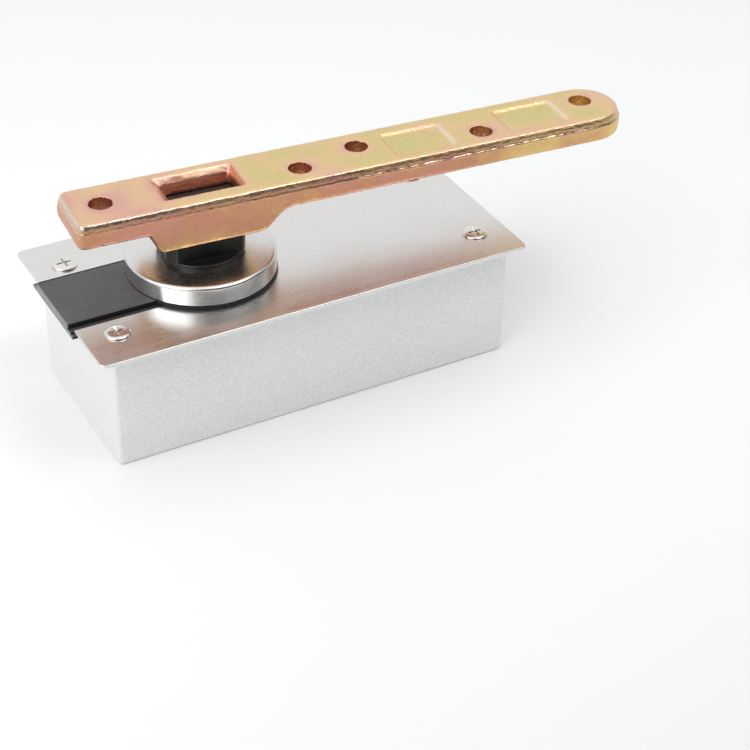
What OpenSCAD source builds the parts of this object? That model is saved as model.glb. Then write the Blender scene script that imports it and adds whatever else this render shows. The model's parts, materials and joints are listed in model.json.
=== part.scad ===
// Heavy-duty floor pivot: a cement case with a brushed cover plate, a spindle
// that turns on a thrust bearing against a sprung detent roller, and the cast
// arm that carries the door.
// Origin: on the spindle axis, in the plane the case stands on.
// +X runs to the long end of the case, +Z up.

/* [Cement case] */
// Length of the case, outside
case_len = 187; // [165:1:230]
// Width of the case, outside
case_w = 81.6; // [73:0.2:100]
// Height of the case
case_h = 56.3; // [50:0.1:75]
// Sheet thickness of the case
case_wall = 1.5; // [1:0.1:2]
// Outside radius of the case's upright corners
case_corner_r = 1.8; // [1.7:0.1:5]
// Outside radius along the foot of the case
case_foot_r = 1; // [0.6:0.1:2]
// Distance from the case's short end to the spindle axis
spindle_from_end = 58; // [57:0.5:70]

/* [Cover plate] */
// Thickness of the cover plate
plate_t = 1.5; // [1:0.1:3]
// Overhang of the plate at the short end
plate_over_short = 7.8; // [3:0.1:12]
// Overhang of the plate at the long end
plate_over_long = 5.2; // [2:0.1:12]
// Overhang of the plate at each long side
plate_over_side = 8.1; // [3:0.1:12]
// Radius of the plate's corners
plate_corner_r = 3; // [1:0.1:6]
// Clearance round the spindle in the slot that lets the plate slide in
slot_clear = 2.5; // [2:0.1:4]
// Offset of the slot across the case from the spindle axis
slot_y = 1; // [-1.5:0.1:1.5]

/* [Cover screws] */
// Distance from the case's short end to its cover screws
screw_end_gap_short = 7.1; // [6.8:0.1:8]
// Distance from the case's long end to its cover screws
screw_end_gap_long = 10.1; // [6.8:0.1:11]
// Distance from the case's long sides to the cover screws
screw_side_gap = 11.5; // [7:0.1:13]
// Diameter of the cover screws' heads
screw_head_d = 11; // [9:0.1:13]
// Height of the cover screws' heads
screw_head_h = 1.4; // [1:0.1:2.5]
// Thread diameter of the cover screws
screw_d = 6; // [4:0.1:6.4]
// Length of the cover screws under the head
screw_len = 18; // [10:1:30]
// Diameter of the threaded posts in the case's corners
post_d = 10; // [9:0.2:11]

/* [Slot strip] */
// Width of the step at each side of the strip's raised top
strip_step_w = 3.1; // [1.5:0.1:6]
// Height of the strip above the cover plate
strip_rise = 1.6; // [0.8:0.1:1.6]
// Depth of the strip's side steps below the top of the plate
strip_step = 0.8; // [0.3:0.1:1]
// Thickness of the strip's lips under the plate
strip_lip_t = 1.2; // [0.8:0.1:1.2]
// Reach of each lip past the slot's edge
strip_lip_reach = 2; // [1:0.1:3]
// Length of strip that stands out past the plate's edge
strip_proud = 1.7; // [0:0.1:4]

/* [Disc cap] */
// Outside diameter of the disc cap
cap_d = 64.8; // [56:0.2:70]
// Height of the disc cap's skirt
cap_h = 8.6; // [6:0.1:12]
// Sheet thickness of the disc cap
cap_wall = 1.2; // [0.8:0.1:2]
// Radius of the disc cap's top edge
cap_edge_r = 1.6; // [0.6:0.1:2.5]
// Width of the sealing ring's wall
seal_w = 5.2; // [3:0.1:7]
// How far the sealing ring stands out past the disc cap
seal_proud = 0.3; // [0.2:0.1:1.5]
// Thickness of the sealing ring
seal_t = 1.2; // [1:0.1:1.6]

/* [Spindle] */
// Diameter of the spindle's neck through the cover plate
neck_d = 36; // [34:0.2:36.4]
// Diameter of the shoulder that carries the disc cap
cap_seat_d = 42; // [40:0.2:50]
// Height of the round collar above the disc cap
collar_h = 1.7; // [0.5:0.1:3]
// Length of the driving block, along the arm
block_len = 35.2; // [32:0.2:36]
// Width of the driving block, across the arm
block_w = 24.4; // [20:0.2:25]
// Diameter that the driving block's corners are turned to
block_turned_d = 38; // [37:0.2:40]
// Height of the driving block
block_h = 22; // [18:0.5:22.4]
// Diameter of the upper journal
journal_top_d = 32; // [30:0.2:34]
// Diameter of the cam seat
cam_seat_d = 26; // [22:0.2:28]
// Diameter of the lower journal
journal_foot_d = 18; // [14:0.2:18.4]
// Radial running clearance of the journals
run_gap = 0.05; // [0.02:0.01:0.09]

/* [Arm] */
// Angle of the arm to the case at rest
arm_angle = -4.4; // [-10:0.1:10]
// Reach of the arm behind the spindle axis
arm_tail = 57.4; // [50:0.2:70]
// Reach of the arm in front of the spindle axis
arm_reach = 199.8; // [198:0.2:240]
// Width of the arm
arm_w = 33.4; // [32:0.2:40]
// Thickness of the arm
arm_t = 11.5; // [9:0.1:14]
// Depth of the boss below the arm's underside
boss_h = 9.1; // [7.8:0.1:9.8]
// Rounding of the boss's two back corners
boss_corner_r = 2.4; // [1:0.1:5]
// Gap between the disc cap and the boss
boss_gap = 11.2; // [9:0.1:13]
// Rounding of the arm's upper edges
arm_top_r = 1.3; // [0.6:0.1:2]
// Lean of the narrow band under the arm's upper edges
arm_lean = 16; // [4:1:24]
// Height of the casting's parting line above the arm's underside
arm_parting_h = 7.3; // [4:0.1:8]
// How far the parting line stands out
arm_ridge = 0.3; // [0.1:0.05:0.6]
// Rounding of the arm's lower edges
arm_foot_r = 1.6; // [0.6:0.1:2.5]
// Radius of the arm's square-end corners
arm_corner_r = 3.4; // [3:0.1:8]
// Diameter of the arm's door-screw holes
hole_d = 10; // [8:0.1:11]
// Length of the pocket's rim
pocket_len = 37; // [34:0.2:40]
// Width of the pocket's rim
pocket_w = 20.6; // [18:0.2:23]
// Offset of the pocket across the arm
pocket_y = 1.2; // [-1.5:0.1:1.5]
// Run-in of the pocket's sloping rim at its back end
pocket_slope_back = 3.9; // [1:0.1:4.5]
// Run-in of the pocket's sloping rim at its front end
pocket_slope_front = 1.9; // [1:0.1:3]
// Run-in of the pocket's sloping rim at each side
pocket_slope_side = 2.8; // [1:0.1:3.4]
// Depth of the pocket's sloping rim
pocket_slope_h = 3.4; // [2:0.1:5]
// Depth of the shallow recesses in the arm's top
recess_h = 1.3; // [0.6:0.1:2]

/* [Bearings] */
// Wall thickness of the bronze bushes
bush_wall = 4; // [2:0.1:4.4]
// Flange thickness of the bronze bushes
bush_flange_t = 1.5; // [1:0.1:2]
// Diameter of the thrust bearing's balls
ball_d = 6; // [5:0.1:6.4]
// Number of balls
ball_count = 12; // [8:1:13]
// Thickness of each bearing race
race_t = 2; // [1.6:0.1:2.2]
// Outside diameter of the bearing races
race_d = 42; // [40:0.2:44]
// Running gap between the balls and each race
ball_gap = 0.1; // [0.04:0.01:0.2]

/* [Cam and roller] */
// Thickness of the detent cam
cam_t = 11; // [9:0.2:12]
// Depth of the cam's four notches
notch_depth = 4; // [2:0.1:5]
// Diameter of the roller
roller_d = 14; // [12:0.2:15]
// Height of the roller
roller_h = 10; // [7:0.2:10.4]
// Diameter of the roller's pin
pin_d = 7; // [5:0.1:7.6]
// Gap held between the roller and the cam's rim
roller_gap = 0.3; // [0.1:0.05:0.5]

/* [Springs] */
// Wire diameter of the springs
wire_d = 3; // [2:0.1:3.2]
// Outside diameter of the springs
spring_d = 18; // [16:0.2:19]
// Rise of each open turn of the springs, about
coil_pitch = 6.5; // [5:0.1:9]
// Distance between the two springs' centres
spring_spread = 24; // [22:0.2:27]
// Diameter of the tension screws
tension_d = 8; // [6:0.2:8.4]

/* [Housing] */
// Thickness of the housing's floor
floor_t = 6.5; // [5.6:0.1:7.4]
// Thickness of the housing's round wall
round_wall = 4.5; // [3:0.1:4.6]
// Clearance between the cam's rim and the round wall
cam_room = 3.5; // [2:0.1:4]
// Room between the springs and the sides of the carriage channel
spring_room = 2; // [1:0.1:3]
// Room between the housing's sides and the case
side_room = 2.3; // [1:0.1:4]
// Room between the housing's end wall and the long end of the case
end_room = 16.5; // [14:0.5:22]
// Thickness of the end wall that holds the tension screws
end_wall = 6; // [4:0.2:8]
// Thickness of the housing's lid
lid_t = 4; // [3:0.1:4]
// Thread diameter of the lid screws
lid_screw_d = 5; // [4:0.1:6]
// Thread diameter of the hold-down bolts
hold_down_d = 6; // [5:0.1:8]

/* [Hidden] */
$fn = 64;

// Overlap that keeps a cut clear of the face it starts from
eps = 0.5;
// Gap left around pieces that slide in or sit loosely in an opening
ease = 0.3;
// Overlap that joins two lengths of one solid
lap = 1;

// --- case and cover, in plan and height ---
case_x0 = -spindle_from_end;
case_x1 = case_x0 + case_len;
plate_x0 = case_x0 - plate_over_short;
plate_x1 = case_x1 + plate_over_long;
plate_half = case_w / 2 + plate_over_side;
plate_z0 = case_h;
plate_z1 = plate_z0 + plate_t;
plate_edge_r = plate_t * 0.3;
plate_foot_r = plate_t * 0.1;
cut_edge_r = case_wall * 0.13;
screw_y = case_w / 2 - screw_side_gap;
screw_at = [
    [case_x0 + screw_end_gap_short, -screw_y],
    [case_x0 + screw_end_gap_short, screw_y],
    [case_x1 - screw_end_gap_long, -screw_y],
    [case_x1 - screw_end_gap_long, screw_y]];
screw_hole_gap = 0.3;
tap_run_out = 2;

// --- slot and its strip ---
slot_w = neck_d + 2 * slot_clear;
strip_top_w = slot_w - 2 * strip_step_w;
strip_z0 = plate_z0 - strip_lip_t;
strip_z1 = plate_z1 + strip_rise;
strip_x0 = plate_x0 - strip_proud;
strip_lip_half = slot_w / 2 + strip_lip_reach;

// --- disc cap and sealing ring ---
cap_z0 = strip_z1 + ease;
cap_z1 = cap_z0 + cap_h;
seal_r = cap_d / 2 + seal_proud;

// --- spindle heights, from the foot up ---
floor_z = case_wall + floor_t;
foot_web = 1.5;
foot_z = case_wall + foot_web;
race_low_z = floor_z;
ball_z = race_low_z + race_t + ball_gap + ball_d / 2;
race_up_z = ball_z + ball_d / 2 + ball_gap;
seat_z0 = race_up_z + race_t;
circlip_t = 1.6;
circlip_groove = 1;
circlip_rise = 1.3;
cam_z0 = seat_z0 + circlip_rise + circlip_t;
cam_z1 = cam_z0 + cam_t;
strip_room = 0.6;
neck_bush_top = strip_z0 - strip_room - bush_flange_t;
lid_boss_h = 4;
lid_boss_wall = 4;
lid_z1 = neck_bush_top - lid_boss_h;
lid_z0 = lid_z1 - lid_t;
neck_z0 = neck_bush_top + bush_flange_t + ease;
cap_seat_z0 = strip_z1 + 0.4;
cap_seat_z1 = cap_z1 - cap_wall;
block_z0 = cap_z1 + collar_h;
block_z1 = block_z0 + block_h;

// --- arm heights and ends ---
boss_z0 = cap_z1 + boss_gap;
arm_z0 = boss_z0 + boss_h;
arm_z1 = arm_z0 + arm_t;
arm_half = arm_w / 2;
arm_end_x = arm_reach - arm_half;
socket_gap = 0.1;
boss_wall_back = 5.8;
boss_wall_front = 3.4;
boss_lean = 4;
boss_run_out = 14;
boss_foot_r = 1.5;
boss_half = arm_half - arm_ridge;
boss_foot_x0 = -block_len / 2 - boss_wall_back;
boss_top_x0 = boss_foot_x0 - boss_lean;
boss_foot_x1 = block_len / 2 + boss_wall_front;
boss_top_x1 = boss_foot_x1 + boss_run_out;
end_hole_gap = 16.9;
tail_hole_gap = 14.8;
// Door-screw holes: along the arm and across it
arm_holes = [[tail_hole_gap - arm_tail, -0.9], [43.6, -5.3], [73.1, 2.8], [128.9, -5.8],
    [arm_reach - end_hole_gap, 2.8]];
throat_taper = 3;
throat_side_taper = 1.5;
recess_step = 0.8;
recess_ramp = 2.4;
recess_back = 1.2;
// Shallow recesses: start and end along the arm, front and back edge across it
recesses = [[85.8, 115, -11.8, 8.7], [140.8, 170.5, -10.9, 9.1]];

// --- thrust bearing ---
ball_ring_shift = 1;
ball_ring_r = (journal_foot_d / 2 + race_d / 2) / 2 + ball_ring_shift;
ball_pocket_gap = 0.2;
cage_t = 3;
cage_margin = 1.6;
race_bore_gap = 1;
bush_flange_reach = 2;

// --- cam, roller and carriage ---
housing_r = case_w / 2 - case_wall - side_room;
cam_chamber_r = housing_r - round_wall;
cam_d = 2 * (cam_chamber_r - cam_room);
roller_x = cam_d / 2 + roller_d / 2 + roller_gap;
roller_z = (cam_z0 + cam_z1) / 2;
notch_r = roller_d / 2 + 0.4;
key_w = 6;
key_depth = 3;
fork_gap = 0.4;
fork_back = roller_d / 2 + 1.7;
fork_nose = 6;
fork_half = 11;
carriage_z0 = floor_z + ease;
carriage_top_gap = 1.4;
carriage_z1 = lid_z0 - carriage_top_gap;
channel_w = spring_spread + spring_d + 2 * spring_room;
carriage_side_gap = 0.4;
carriage_half = channel_w / 2 - carriage_side_gap;
crosshead_t = 7;
crosshead_x0 = roller_x + fork_back;
crosshead_x1 = crosshead_x0 + crosshead_t;
spigot_len = 6;
spigot_gap = 0.6;
spigot_r = spring_d / 2 - wire_d - spigot_gap;
seat_plate_t = 3;
end_wall_x1 = case_x1 - case_wall - end_room;
end_wall_x0 = end_wall_x1 - end_wall;
tension_run = 8;
seat_x1 = end_wall_x0 - tension_run;
seat_x0 = seat_x1 - seat_plate_t;
nut_t = 5;
nut_across_flats = tension_d * 1.625;
tension_end = 3;
tension_x1 = end_wall_x1 + nut_t + tension_end;
tension_socket_depth = 4;

// --- springs: closed turns at the ends, whole open turns between ---
spring_len = seat_x0 - crosshead_x1;
coil_closed = wire_d * 1.03;
open_len = spring_len - wire_d - 2 * coil_closed;
open_turns = max(1, round(open_len / coil_pitch));
coil_open = open_len / open_turns;
spring_turns = open_turns + 2;

// --- housing ---
ear_r = 6;
ear_out = 4;
ear_angle = 137;
ear_at = (housing_r + ear_out) * [cos(ear_angle), sin(ear_angle)];
lug_t = 6;
lug_half = 8;
lug_reach = 11;
side_screw_y = (channel_w / 2 + housing_r) / 2;
side_screw_back = 3;
side_screw_inset = 13;
side_screw_x0 = crosshead_x0 - side_screw_back;
side_screw_x1 = end_wall_x1 - side_screw_inset;
lid_screw_at = [[ear_at[0], -ear_at[1]], ear_at, [side_screw_x0, -side_screw_y],
    [side_screw_x0, side_screw_y], [side_screw_x1, -side_screw_y], [side_screw_x1, side_screw_y]];
lid_screw_len = 14;
bolt_tip_gap = 0.2;
hold_down_x = [-housing_r - lug_reach / 2, end_wall_x1 + lug_reach / 2];

// ---------------------------------------------------------------- shapes

// A strip of slab edge: its outer side is at x = w and is rounded below and above.
module edge_profile(w, t, r_foot, r_top) {
    union() {
        translate([0, r_foot]) square([w, t - r_foot - r_top]);
        square([w - r_foot, r_foot]);
        translate([0, t - r_top]) square([w - r_top, r_top]);
        intersection() {
            translate([w - r_foot, r_foot]) circle(r_foot);
            translate([w - r_foot, 0]) square([r_foot, r_foot]);
        }
        intersection() {
            translate([w - r_top, t - r_top]) circle(r_top);
            translate([w - r_top, t - r_top]) square([r_top, r_top]);
        }
    }
}

// One straight run of slab edge along +X, facing -Y, its inner side on the X axis.
module edge_run(len, w, t, r_foot, r_top) {
    rotate([0, 0, -90]) rotate([90, 0, 0]) translate([0, 0, -len])
        linear_extrude(len) edge_profile(w, t, r_foot, r_top);
}

// A flat slab with rounded corners and rounded upper and lower edges.
module soft_slab(x0, x1, half, t, r, r_foot, r_top) {
    inner = half - r;
    len = x1 - x0 - 2 * r;
    union() {
        translate([x0 + r, -inner, 0]) cube([len, 2 * inner, t]);
        translate([x0 + r, -inner, 0]) edge_run(len, r, t, r_foot, r_top);
        translate([x1 - r, inner, 0]) rotate([0, 0, 180]) edge_run(len, r, t, r_foot, r_top);
        translate([x1 - r, -inner, 0]) rotate([0, 0, 90]) edge_run(2 * inner, r, t, r_foot, r_top);
        translate([x0 + r, inner, 0]) rotate([0, 0, -90]) edge_run(2 * inner, r, t, r_foot, r_top);
        corners = [[x0 + r, -inner, 180], [x1 - r, -inner, 270], [x1 - r, inner, 0], [x0 + r, inner, 90]];
        for (at = corners) translate([at[0], at[1], 0]) rotate([0, 0, at[2]])
            rotate_extrude(angle = 90) edge_profile(r, t, r_foot, r_top);
    }
}

// A rounded rectangle in plan.
module rounded_plan(x0, x1, half, r) {
    translate([x0 + r, -half]) square([x1 - x0 - 2 * r, 2 * half]);
    translate([x0, -half + r]) square([x1 - x0, 2 * (half - r)]);
    for (x = [x0 + r, x1 - r]) for (y = [-half + r, half - r]) translate([x, y]) circle(r);
}

// A plain ring of rectangular section.
module ring(r_out, r_in, z0, h) {
    translate([0, 0, z0]) difference() {
        cylinder(r = r_out, h = h);
        translate([0, 0, -eps]) cylinder(r = r_in, h = h + 2 * eps);
    }
}

// ---------------------------------------------------------------- case and cover

module cement_case() {
    color("gainsboro") difference() {
        soft_slab(case_x0, case_x1, case_w / 2, case_h, case_corner_r, case_foot_r, cut_edge_r);
        translate([0, 0, case_wall]) linear_extrude(case_h)
            rounded_plan(case_x0 + case_wall, case_x1 - case_wall, case_w / 2 - case_wall,
                case_corner_r - case_wall);
        // Notch in the short end that lets the strip's lips pass out
        translate([case_x0 - eps, slot_y - strip_lip_half - ease, strip_z0])
            cube([case_wall + 2 * eps, 2 * (strip_lip_half + ease), case_h]);
        for (x = hold_down_x) translate([x, 0, -eps])
            cylinder(d = hold_down_d, h = case_wall + 2 * eps);
    }
}

module screw_post(i) {
    color("silver") translate([screw_at[i][0], screw_at[i][1], case_wall]) difference() {
        cylinder(d = post_d, h = case_h - case_wall);
        translate([0, 0, case_h - case_wall - screw_len - tap_run_out])
            cylinder(d = screw_d, h = screw_len + tap_run_out + eps);
    }
}

module cover_plate() {
    color("lightgray") difference() {
        translate([0, 0, plate_z0])
            soft_slab(plate_x0, plate_x1, plate_half, plate_t, plate_corner_r, plate_foot_r, plate_edge_r);
        translate([0, slot_y, plate_z0 - eps]) cylinder(d = slot_w, h = plate_t + 2 * eps);
        translate([plate_x0 - eps, slot_y - slot_w / 2, plate_z0 - eps])
            cube([eps - plate_x0, slot_w, plate_t + 2 * eps]);
        for (at = screw_at) translate([at[0], at[1], plate_z0 - eps])
            cylinder(d = screw_d + 2 * screw_hole_gap, h = plate_t + 2 * eps);
    }
}

// A low pan head with a cross recess, on its shank.
module cover_screw(i) {
    rim_h = screw_head_h * 0.6;
    crown_h = screw_head_h - rim_h;
    crown_r = (screw_head_d * screw_head_d / 4 + crown_h * crown_h) / (2 * crown_h);
    recess_len = screw_head_d * 0.52;
    recess_w = screw_head_d * 0.11;
    recess_depth = screw_head_h * 0.8;
    color("silver") translate([screw_at[i][0], screw_at[i][1], plate_z1]) difference() {
        union() {
            intersection() {
                cylinder(d = screw_head_d, h = screw_head_h);
                translate([0, 0, screw_head_h - crown_r]) sphere(r = crown_r);
            }
            translate([0, 0, -plate_t - screw_len]) cylinder(d = screw_d, h = plate_t + screw_len);
        }
        for (a = [0, 90]) rotate([0, 0, a + 45 + 20 * i])
            translate([-recess_len / 2, -recess_w / 2, screw_head_h - recess_depth])
                cube([recess_len, recess_w, recess_depth + eps]);
    }
}

// Extruded rubber: a raised top, a step at each side and a lip under the plate.
module slot_strip() {
    step_half = slot_w / 2 - ease;
    top_half = strip_top_w / 2;
    top_r = 0.4;
    color("#2b2b2d") difference() {
        translate([strip_x0, slot_y, 0]) rotate([90, 0, 90]) linear_extrude(-strip_x0) union() {
            translate([-strip_lip_half, strip_z0]) square([2 * strip_lip_half, strip_lip_t]);
            translate([-step_half, strip_z0]) square([2 * step_half, plate_z1 - strip_step - strip_z0]);
            translate([-top_half, strip_z0]) square([2 * top_half, strip_z1 - top_r - strip_z0]);
            translate([-top_half + top_r, strip_z0]) square([2 * (top_half - top_r), strip_z1 - strip_z0]);
            for (y = [-top_half + top_r, top_half - top_r]) translate([y, strip_z1 - top_r]) circle(top_r);
        }
        translate([0, 0, strip_z0 - eps])
            cylinder(d = neck_d + 4 * ease, h = strip_z1 - strip_z0 + 2 * eps);
    }
}

module sealing_ring() {
    color("#1c1c1c") difference() {
        ring(seal_r, seal_r - seal_w, plate_z1, seal_t);
        translate([-2 * seal_r, slot_y - strip_top_w / 2 - ease, plate_z1 - eps])
            cube([2 * seal_r, strip_top_w + 2 * ease, seal_t + 2 * eps]);
    }
}

// ---------------------------------------------------------------- housing

module housing_plan() {
    circle(housing_r);
    translate([0, -housing_r]) square([end_wall_x1, 2 * housing_r]);
    for (i = [0, 1]) translate(lid_screw_at[i]) circle(ear_r);
}

module housing() {
    color("dimgray") difference() {
        union() {
            translate([0, 0, case_wall]) linear_extrude(lid_z0 - case_wall) housing_plan();
            // Foot lugs for the hold-down bolts
            translate([-housing_r - lug_reach, -lug_half, case_wall])
                cube([lug_reach + round_wall, 2 * lug_half, lug_t]);
            translate([end_wall_x1 - lap, -lug_half, case_wall])
                cube([lug_reach + lap, 2 * lug_half, lug_t]);
        }
        translate([0, 0, floor_z]) cylinder(r = cam_chamber_r, h = lid_z0);
        translate([0, -channel_w / 2, floor_z]) cube([end_wall_x0, channel_w, lid_z0]);
        translate([0, 0, foot_z]) cylinder(d = journal_foot_d + 2 * run_gap + 2 * bush_wall, h = floor_t);
        for (y = [-spring_spread / 2, spring_spread / 2]) translate([end_wall_x0 - eps, y, roller_z])
            rotate([0, 90, 0]) cylinder(d = tension_d, h = end_wall + 2 * eps);
        for (at = lid_screw_at) translate([at[0], at[1], lid_z1 - lid_screw_len - tap_run_out])
            cylinder(d = lid_screw_d, h = lid_screw_len + tap_run_out);
        for (x = hold_down_x) translate([x, 0, case_wall - eps])
            cylinder(d = hold_down_d, h = lug_t + 2 * eps);
    }
}

module housing_lid() {
    bore_d = journal_top_d + 2 * run_gap + 2 * bush_wall;
    color("slategray") difference() {
        union() {
            translate([0, 0, lid_z0]) linear_extrude(lid_t) housing_plan();
            translate([0, 0, lid_z0]) cylinder(d = bore_d + 2 * lid_boss_wall, h = lid_t + lid_boss_h);
        }
        translate([0, 0, lid_z0 - eps]) cylinder(d = bore_d, h = lid_t + lid_boss_h + 2 * eps);
        for (at = lid_screw_at) translate([at[0], at[1], lid_z0 - eps])
            cylinder(d = lid_screw_d + 2 * screw_hole_gap, h = lid_t + 2 * eps);
    }
}

// A socket-head cap screw standing on z = 0, its shank below.
module cap_screw(d, len) {
    head_d = d * 1.7;
    head_h = d * 0.6;
    socket_d = d * 0.9;
    socket_floor = d * 0.25;
    difference() {
        union() {
            cylinder(d = head_d, h = head_h);
            translate([0, 0, -len]) cylinder(d = d, h = len);
        }
        translate([0, 0, socket_floor]) cylinder(d = socket_d, h = head_h, $fn = 6);
    }
}

module lid_screw(i) {
    color("darkslategray") translate([lid_screw_at[i][0], lid_screw_at[i][1], lid_z1])
        cap_screw(lid_screw_d, lid_screw_len);
}

module hold_down_bolt(i) {
    color("darkgray") translate([hold_down_x[i], 0, case_wall + lug_t])
        cap_screw(hold_down_d, lug_t + case_wall - bolt_tip_gap);
}

// ---------------------------------------------------------------- bearings

module foot_bush() {
    bore_r = journal_foot_d / 2 + run_gap;
    color("darkgoldenrod") ring(bore_r + bush_wall, bore_r, foot_z, floor_z - foot_z);
}

module neck_bush() {
    bore_r = journal_top_d / 2 + run_gap;
    color("darkgoldenrod") difference() {
        union() {
            translate([0, 0, lid_z0]) cylinder(r = bore_r + bush_wall, h = neck_bush_top - lid_z0);
            translate([0, 0, neck_bush_top])
                cylinder(r = bore_r + bush_wall + bush_flange_reach, h = bush_flange_t);
        }
        translate([0, 0, lid_z0 - eps])
            cylinder(r = bore_r, h = neck_bush_top - lid_z0 + bush_flange_t + 2 * eps);
    }
}

module thrust_race_lower() {
    color("lightsteelblue") ring(race_d / 2, journal_foot_d / 2 + race_bore_gap, race_low_z, race_t);
}

module thrust_race_upper() {
    color("lightsteelblue") ring(race_d / 2, journal_foot_d / 2, race_up_z, race_t);
}

module thrust_cage() {
    pocket_r = ball_d / 2 + ball_pocket_gap;
    color("goldenrod") difference() {
        ring(ball_ring_r + pocket_r + cage_margin, ball_ring_r - pocket_r - cage_margin,
            ball_z - cage_t / 2, cage_t);
        for (i = [0 : ball_count - 1]) rotate([0, 0, i * 360 / ball_count])
            translate([ball_ring_r, 0, ball_z - cage_t]) cylinder(r = pocket_r, h = 2 * cage_t);
    }
}

module thrust_balls() {
    color("silver") for (i = [0 : ball_count - 1]) rotate([0, 0, i * 360 / ball_count])
        translate([ball_ring_r, 0, ball_z]) sphere(d = ball_d);
}

// ---------------------------------------------------------------- spindle group

// The section of the driving block: flats on a turned bar.
module block_section(gap) {
    intersection() {
        square([block_len + 2 * gap, block_w + 2 * gap], center = true);
        circle(d = block_turned_d + 2 * gap);
    }
}

module key_slot() {
    translate([0, cam_seat_d / 2 - key_depth, cam_z0]) translate([-key_w / 2, 0, 0])
        cube([key_w, 2 * key_depth, cam_t]);
}

module spindle() {
    color("#26262a") difference() {
        union() {
            // The foot journal's bar runs right up into the driving block
            translate([0, 0, foot_z + ease])
                cylinder(d = journal_foot_d, h = block_z0 + 2 * lap - foot_z - ease);
            translate([0, 0, seat_z0]) cylinder(d = cam_seat_d, h = cam_z1 - seat_z0);
            translate([0, 0, cam_z1]) cylinder(d = journal_top_d, h = neck_z0 - cam_z1);
            translate([0, 0, neck_z0]) cylinder(d = neck_d, h = cap_seat_z0 + lap - neck_z0);
            translate([0, 0, cap_seat_z1 - lap]) cylinder(d = neck_d, h = block_z0 - cap_seat_z1 + lap);
            translate([0, 0, cap_seat_z0]) cylinder(d = cap_seat_d, h = cap_seat_z1 - cap_seat_z0);
            rotate([0, 0, arm_angle]) translate([0, 0, block_z0]) linear_extrude(block_h) block_section(0);
        }
        ring(cam_seat_d / 2 + eps, cam_seat_d / 2 - circlip_groove, cam_z0 - circlip_t, circlip_t);
        key_slot();
    }
}

module cam_key() {
    color("gray") key_slot();
}

module cam_disc() {
    color("steelblue") difference() {
        ring(cam_d / 2, cam_seat_d / 2, cam_z0, cam_t);
        for (a = [0 : 90 : 270]) rotate([0, 0, a])
            translate([cam_d / 2 - notch_depth + notch_r, 0, cam_z0 - eps])
                cylinder(r = notch_r, h = cam_t + 2 * eps);
        key_slot();
    }
}

module cam_circlip() {
    clip_w = 4;
    clip_gap = 6;
    clip_bore_r = cam_seat_d / 2 - circlip_groove;
    color("dimgray") difference() {
        ring(clip_bore_r + clip_w, clip_bore_r, cam_z0 - circlip_t, circlip_t);
        translate([-clip_gap / 2, -cam_seat_d, cam_z0 - circlip_t - eps])
            cube([clip_gap, cam_seat_d, circlip_t + 2 * eps]);
    }
}

module disc_cap() {
    color("silver") difference() {
        translate([0, 0, cap_z0]) rotate_extrude() edge_profile(cap_d / 2, cap_h, cut_edge_r, cap_edge_r);
        translate([0, 0, cap_z0 - eps]) cylinder(d = cap_d - 2 * cap_wall, h = cap_h - cap_wall + eps);
        translate([0, 0, cap_z0]) cylinder(d = neck_d, h = cap_h + eps);
    }
}

// ---------------------------------------------------------------- arm

// Points of an arc of n steps, from angle a0 to a1, each to a thousandth so that
// neighbouring lengths of edge meet exactly.
function arc(centre, r, a0, a1, n) = [for (i = [0 : n]) let (a = a0 + (a1 - a0) * i / n)
    [for (c = centre + r * [cos(a), sin(a)]) round(c * 1000) / 1000]];

// Section of the arm's edge, its parting line at x = w: an upright lower wall, the
// parting ridge, a band that leans in, and rounded lower and upper edges.
module arm_profile(w) {
    wall = w - arm_ridge;
    lean = [cos(arm_lean), sin(arm_lean)];
    reach = lean[0] * wall + lean[1] * (arm_parting_h + arm_ridge) - arm_top_r;
    top = [(reach - lean[1] * (arm_t - arm_top_r)) / lean[0], arm_t - arm_top_r];
    foot = [wall - arm_foot_r, arm_foot_r];
    ridge = [[wall, arm_parting_h - arm_ridge], [w, arm_parting_h], [wall, arm_parting_h + arm_ridge]];
    polygon(concat([[0, 0]], arc(foot, arm_foot_r, -90, 0, 5), ridge,
        arc(top, arm_top_r, arm_lean, 90, 5), [[0, arm_t]]));
}

// One straight run of the arm's edge along +X, facing -Y, its inner side on the X axis.
module arm_edge(len) {
    rotate([0, 0, -90]) rotate([90, 0, 0]) translate([0, 0, -len])
        linear_extrude(len) arm_profile(arm_corner_r);
}

// The arm's plate: square end with rounded corners, full round at the far end.
module arm_plate() {
    tail_x = -arm_tail + arm_corner_r;
    inner = arm_half - arm_corner_r;
    len = arm_end_x - tail_x;
    union() {
        translate([tail_x, -inner, 0]) cube([len, 2 * inner, arm_t]);
        translate([tail_x, -inner, 0]) arm_edge(len);
        translate([arm_end_x, inner, 0]) rotate([0, 0, 180]) arm_edge(len);
        translate([tail_x, inner, 0]) rotate([0, 0, -90]) arm_edge(2 * inner);
        for (corner = [[-inner, 180], [inner, 90]]) translate([tail_x, corner[0], 0])
            rotate([0, 0, corner[1]]) rotate_extrude(angle = 90) arm_profile(arm_corner_r);
        translate([arm_end_x, 0, 0]) rotate([0, 0, -90])
            rotate_extrude(angle = 180) arm_profile(arm_half);
    }
}

// Side view of the boss: a steep cast flank behind, an S-shaped run-out in front.
function s_curve(x0, z0, x1, z1, n) = [for (i = [0 : n]) let (t = i / n)
    [x0 + (x1 - x0) * t, z0 + (z1 - z0) * (3 * t * t - 2 * t * t * t)]];

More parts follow.
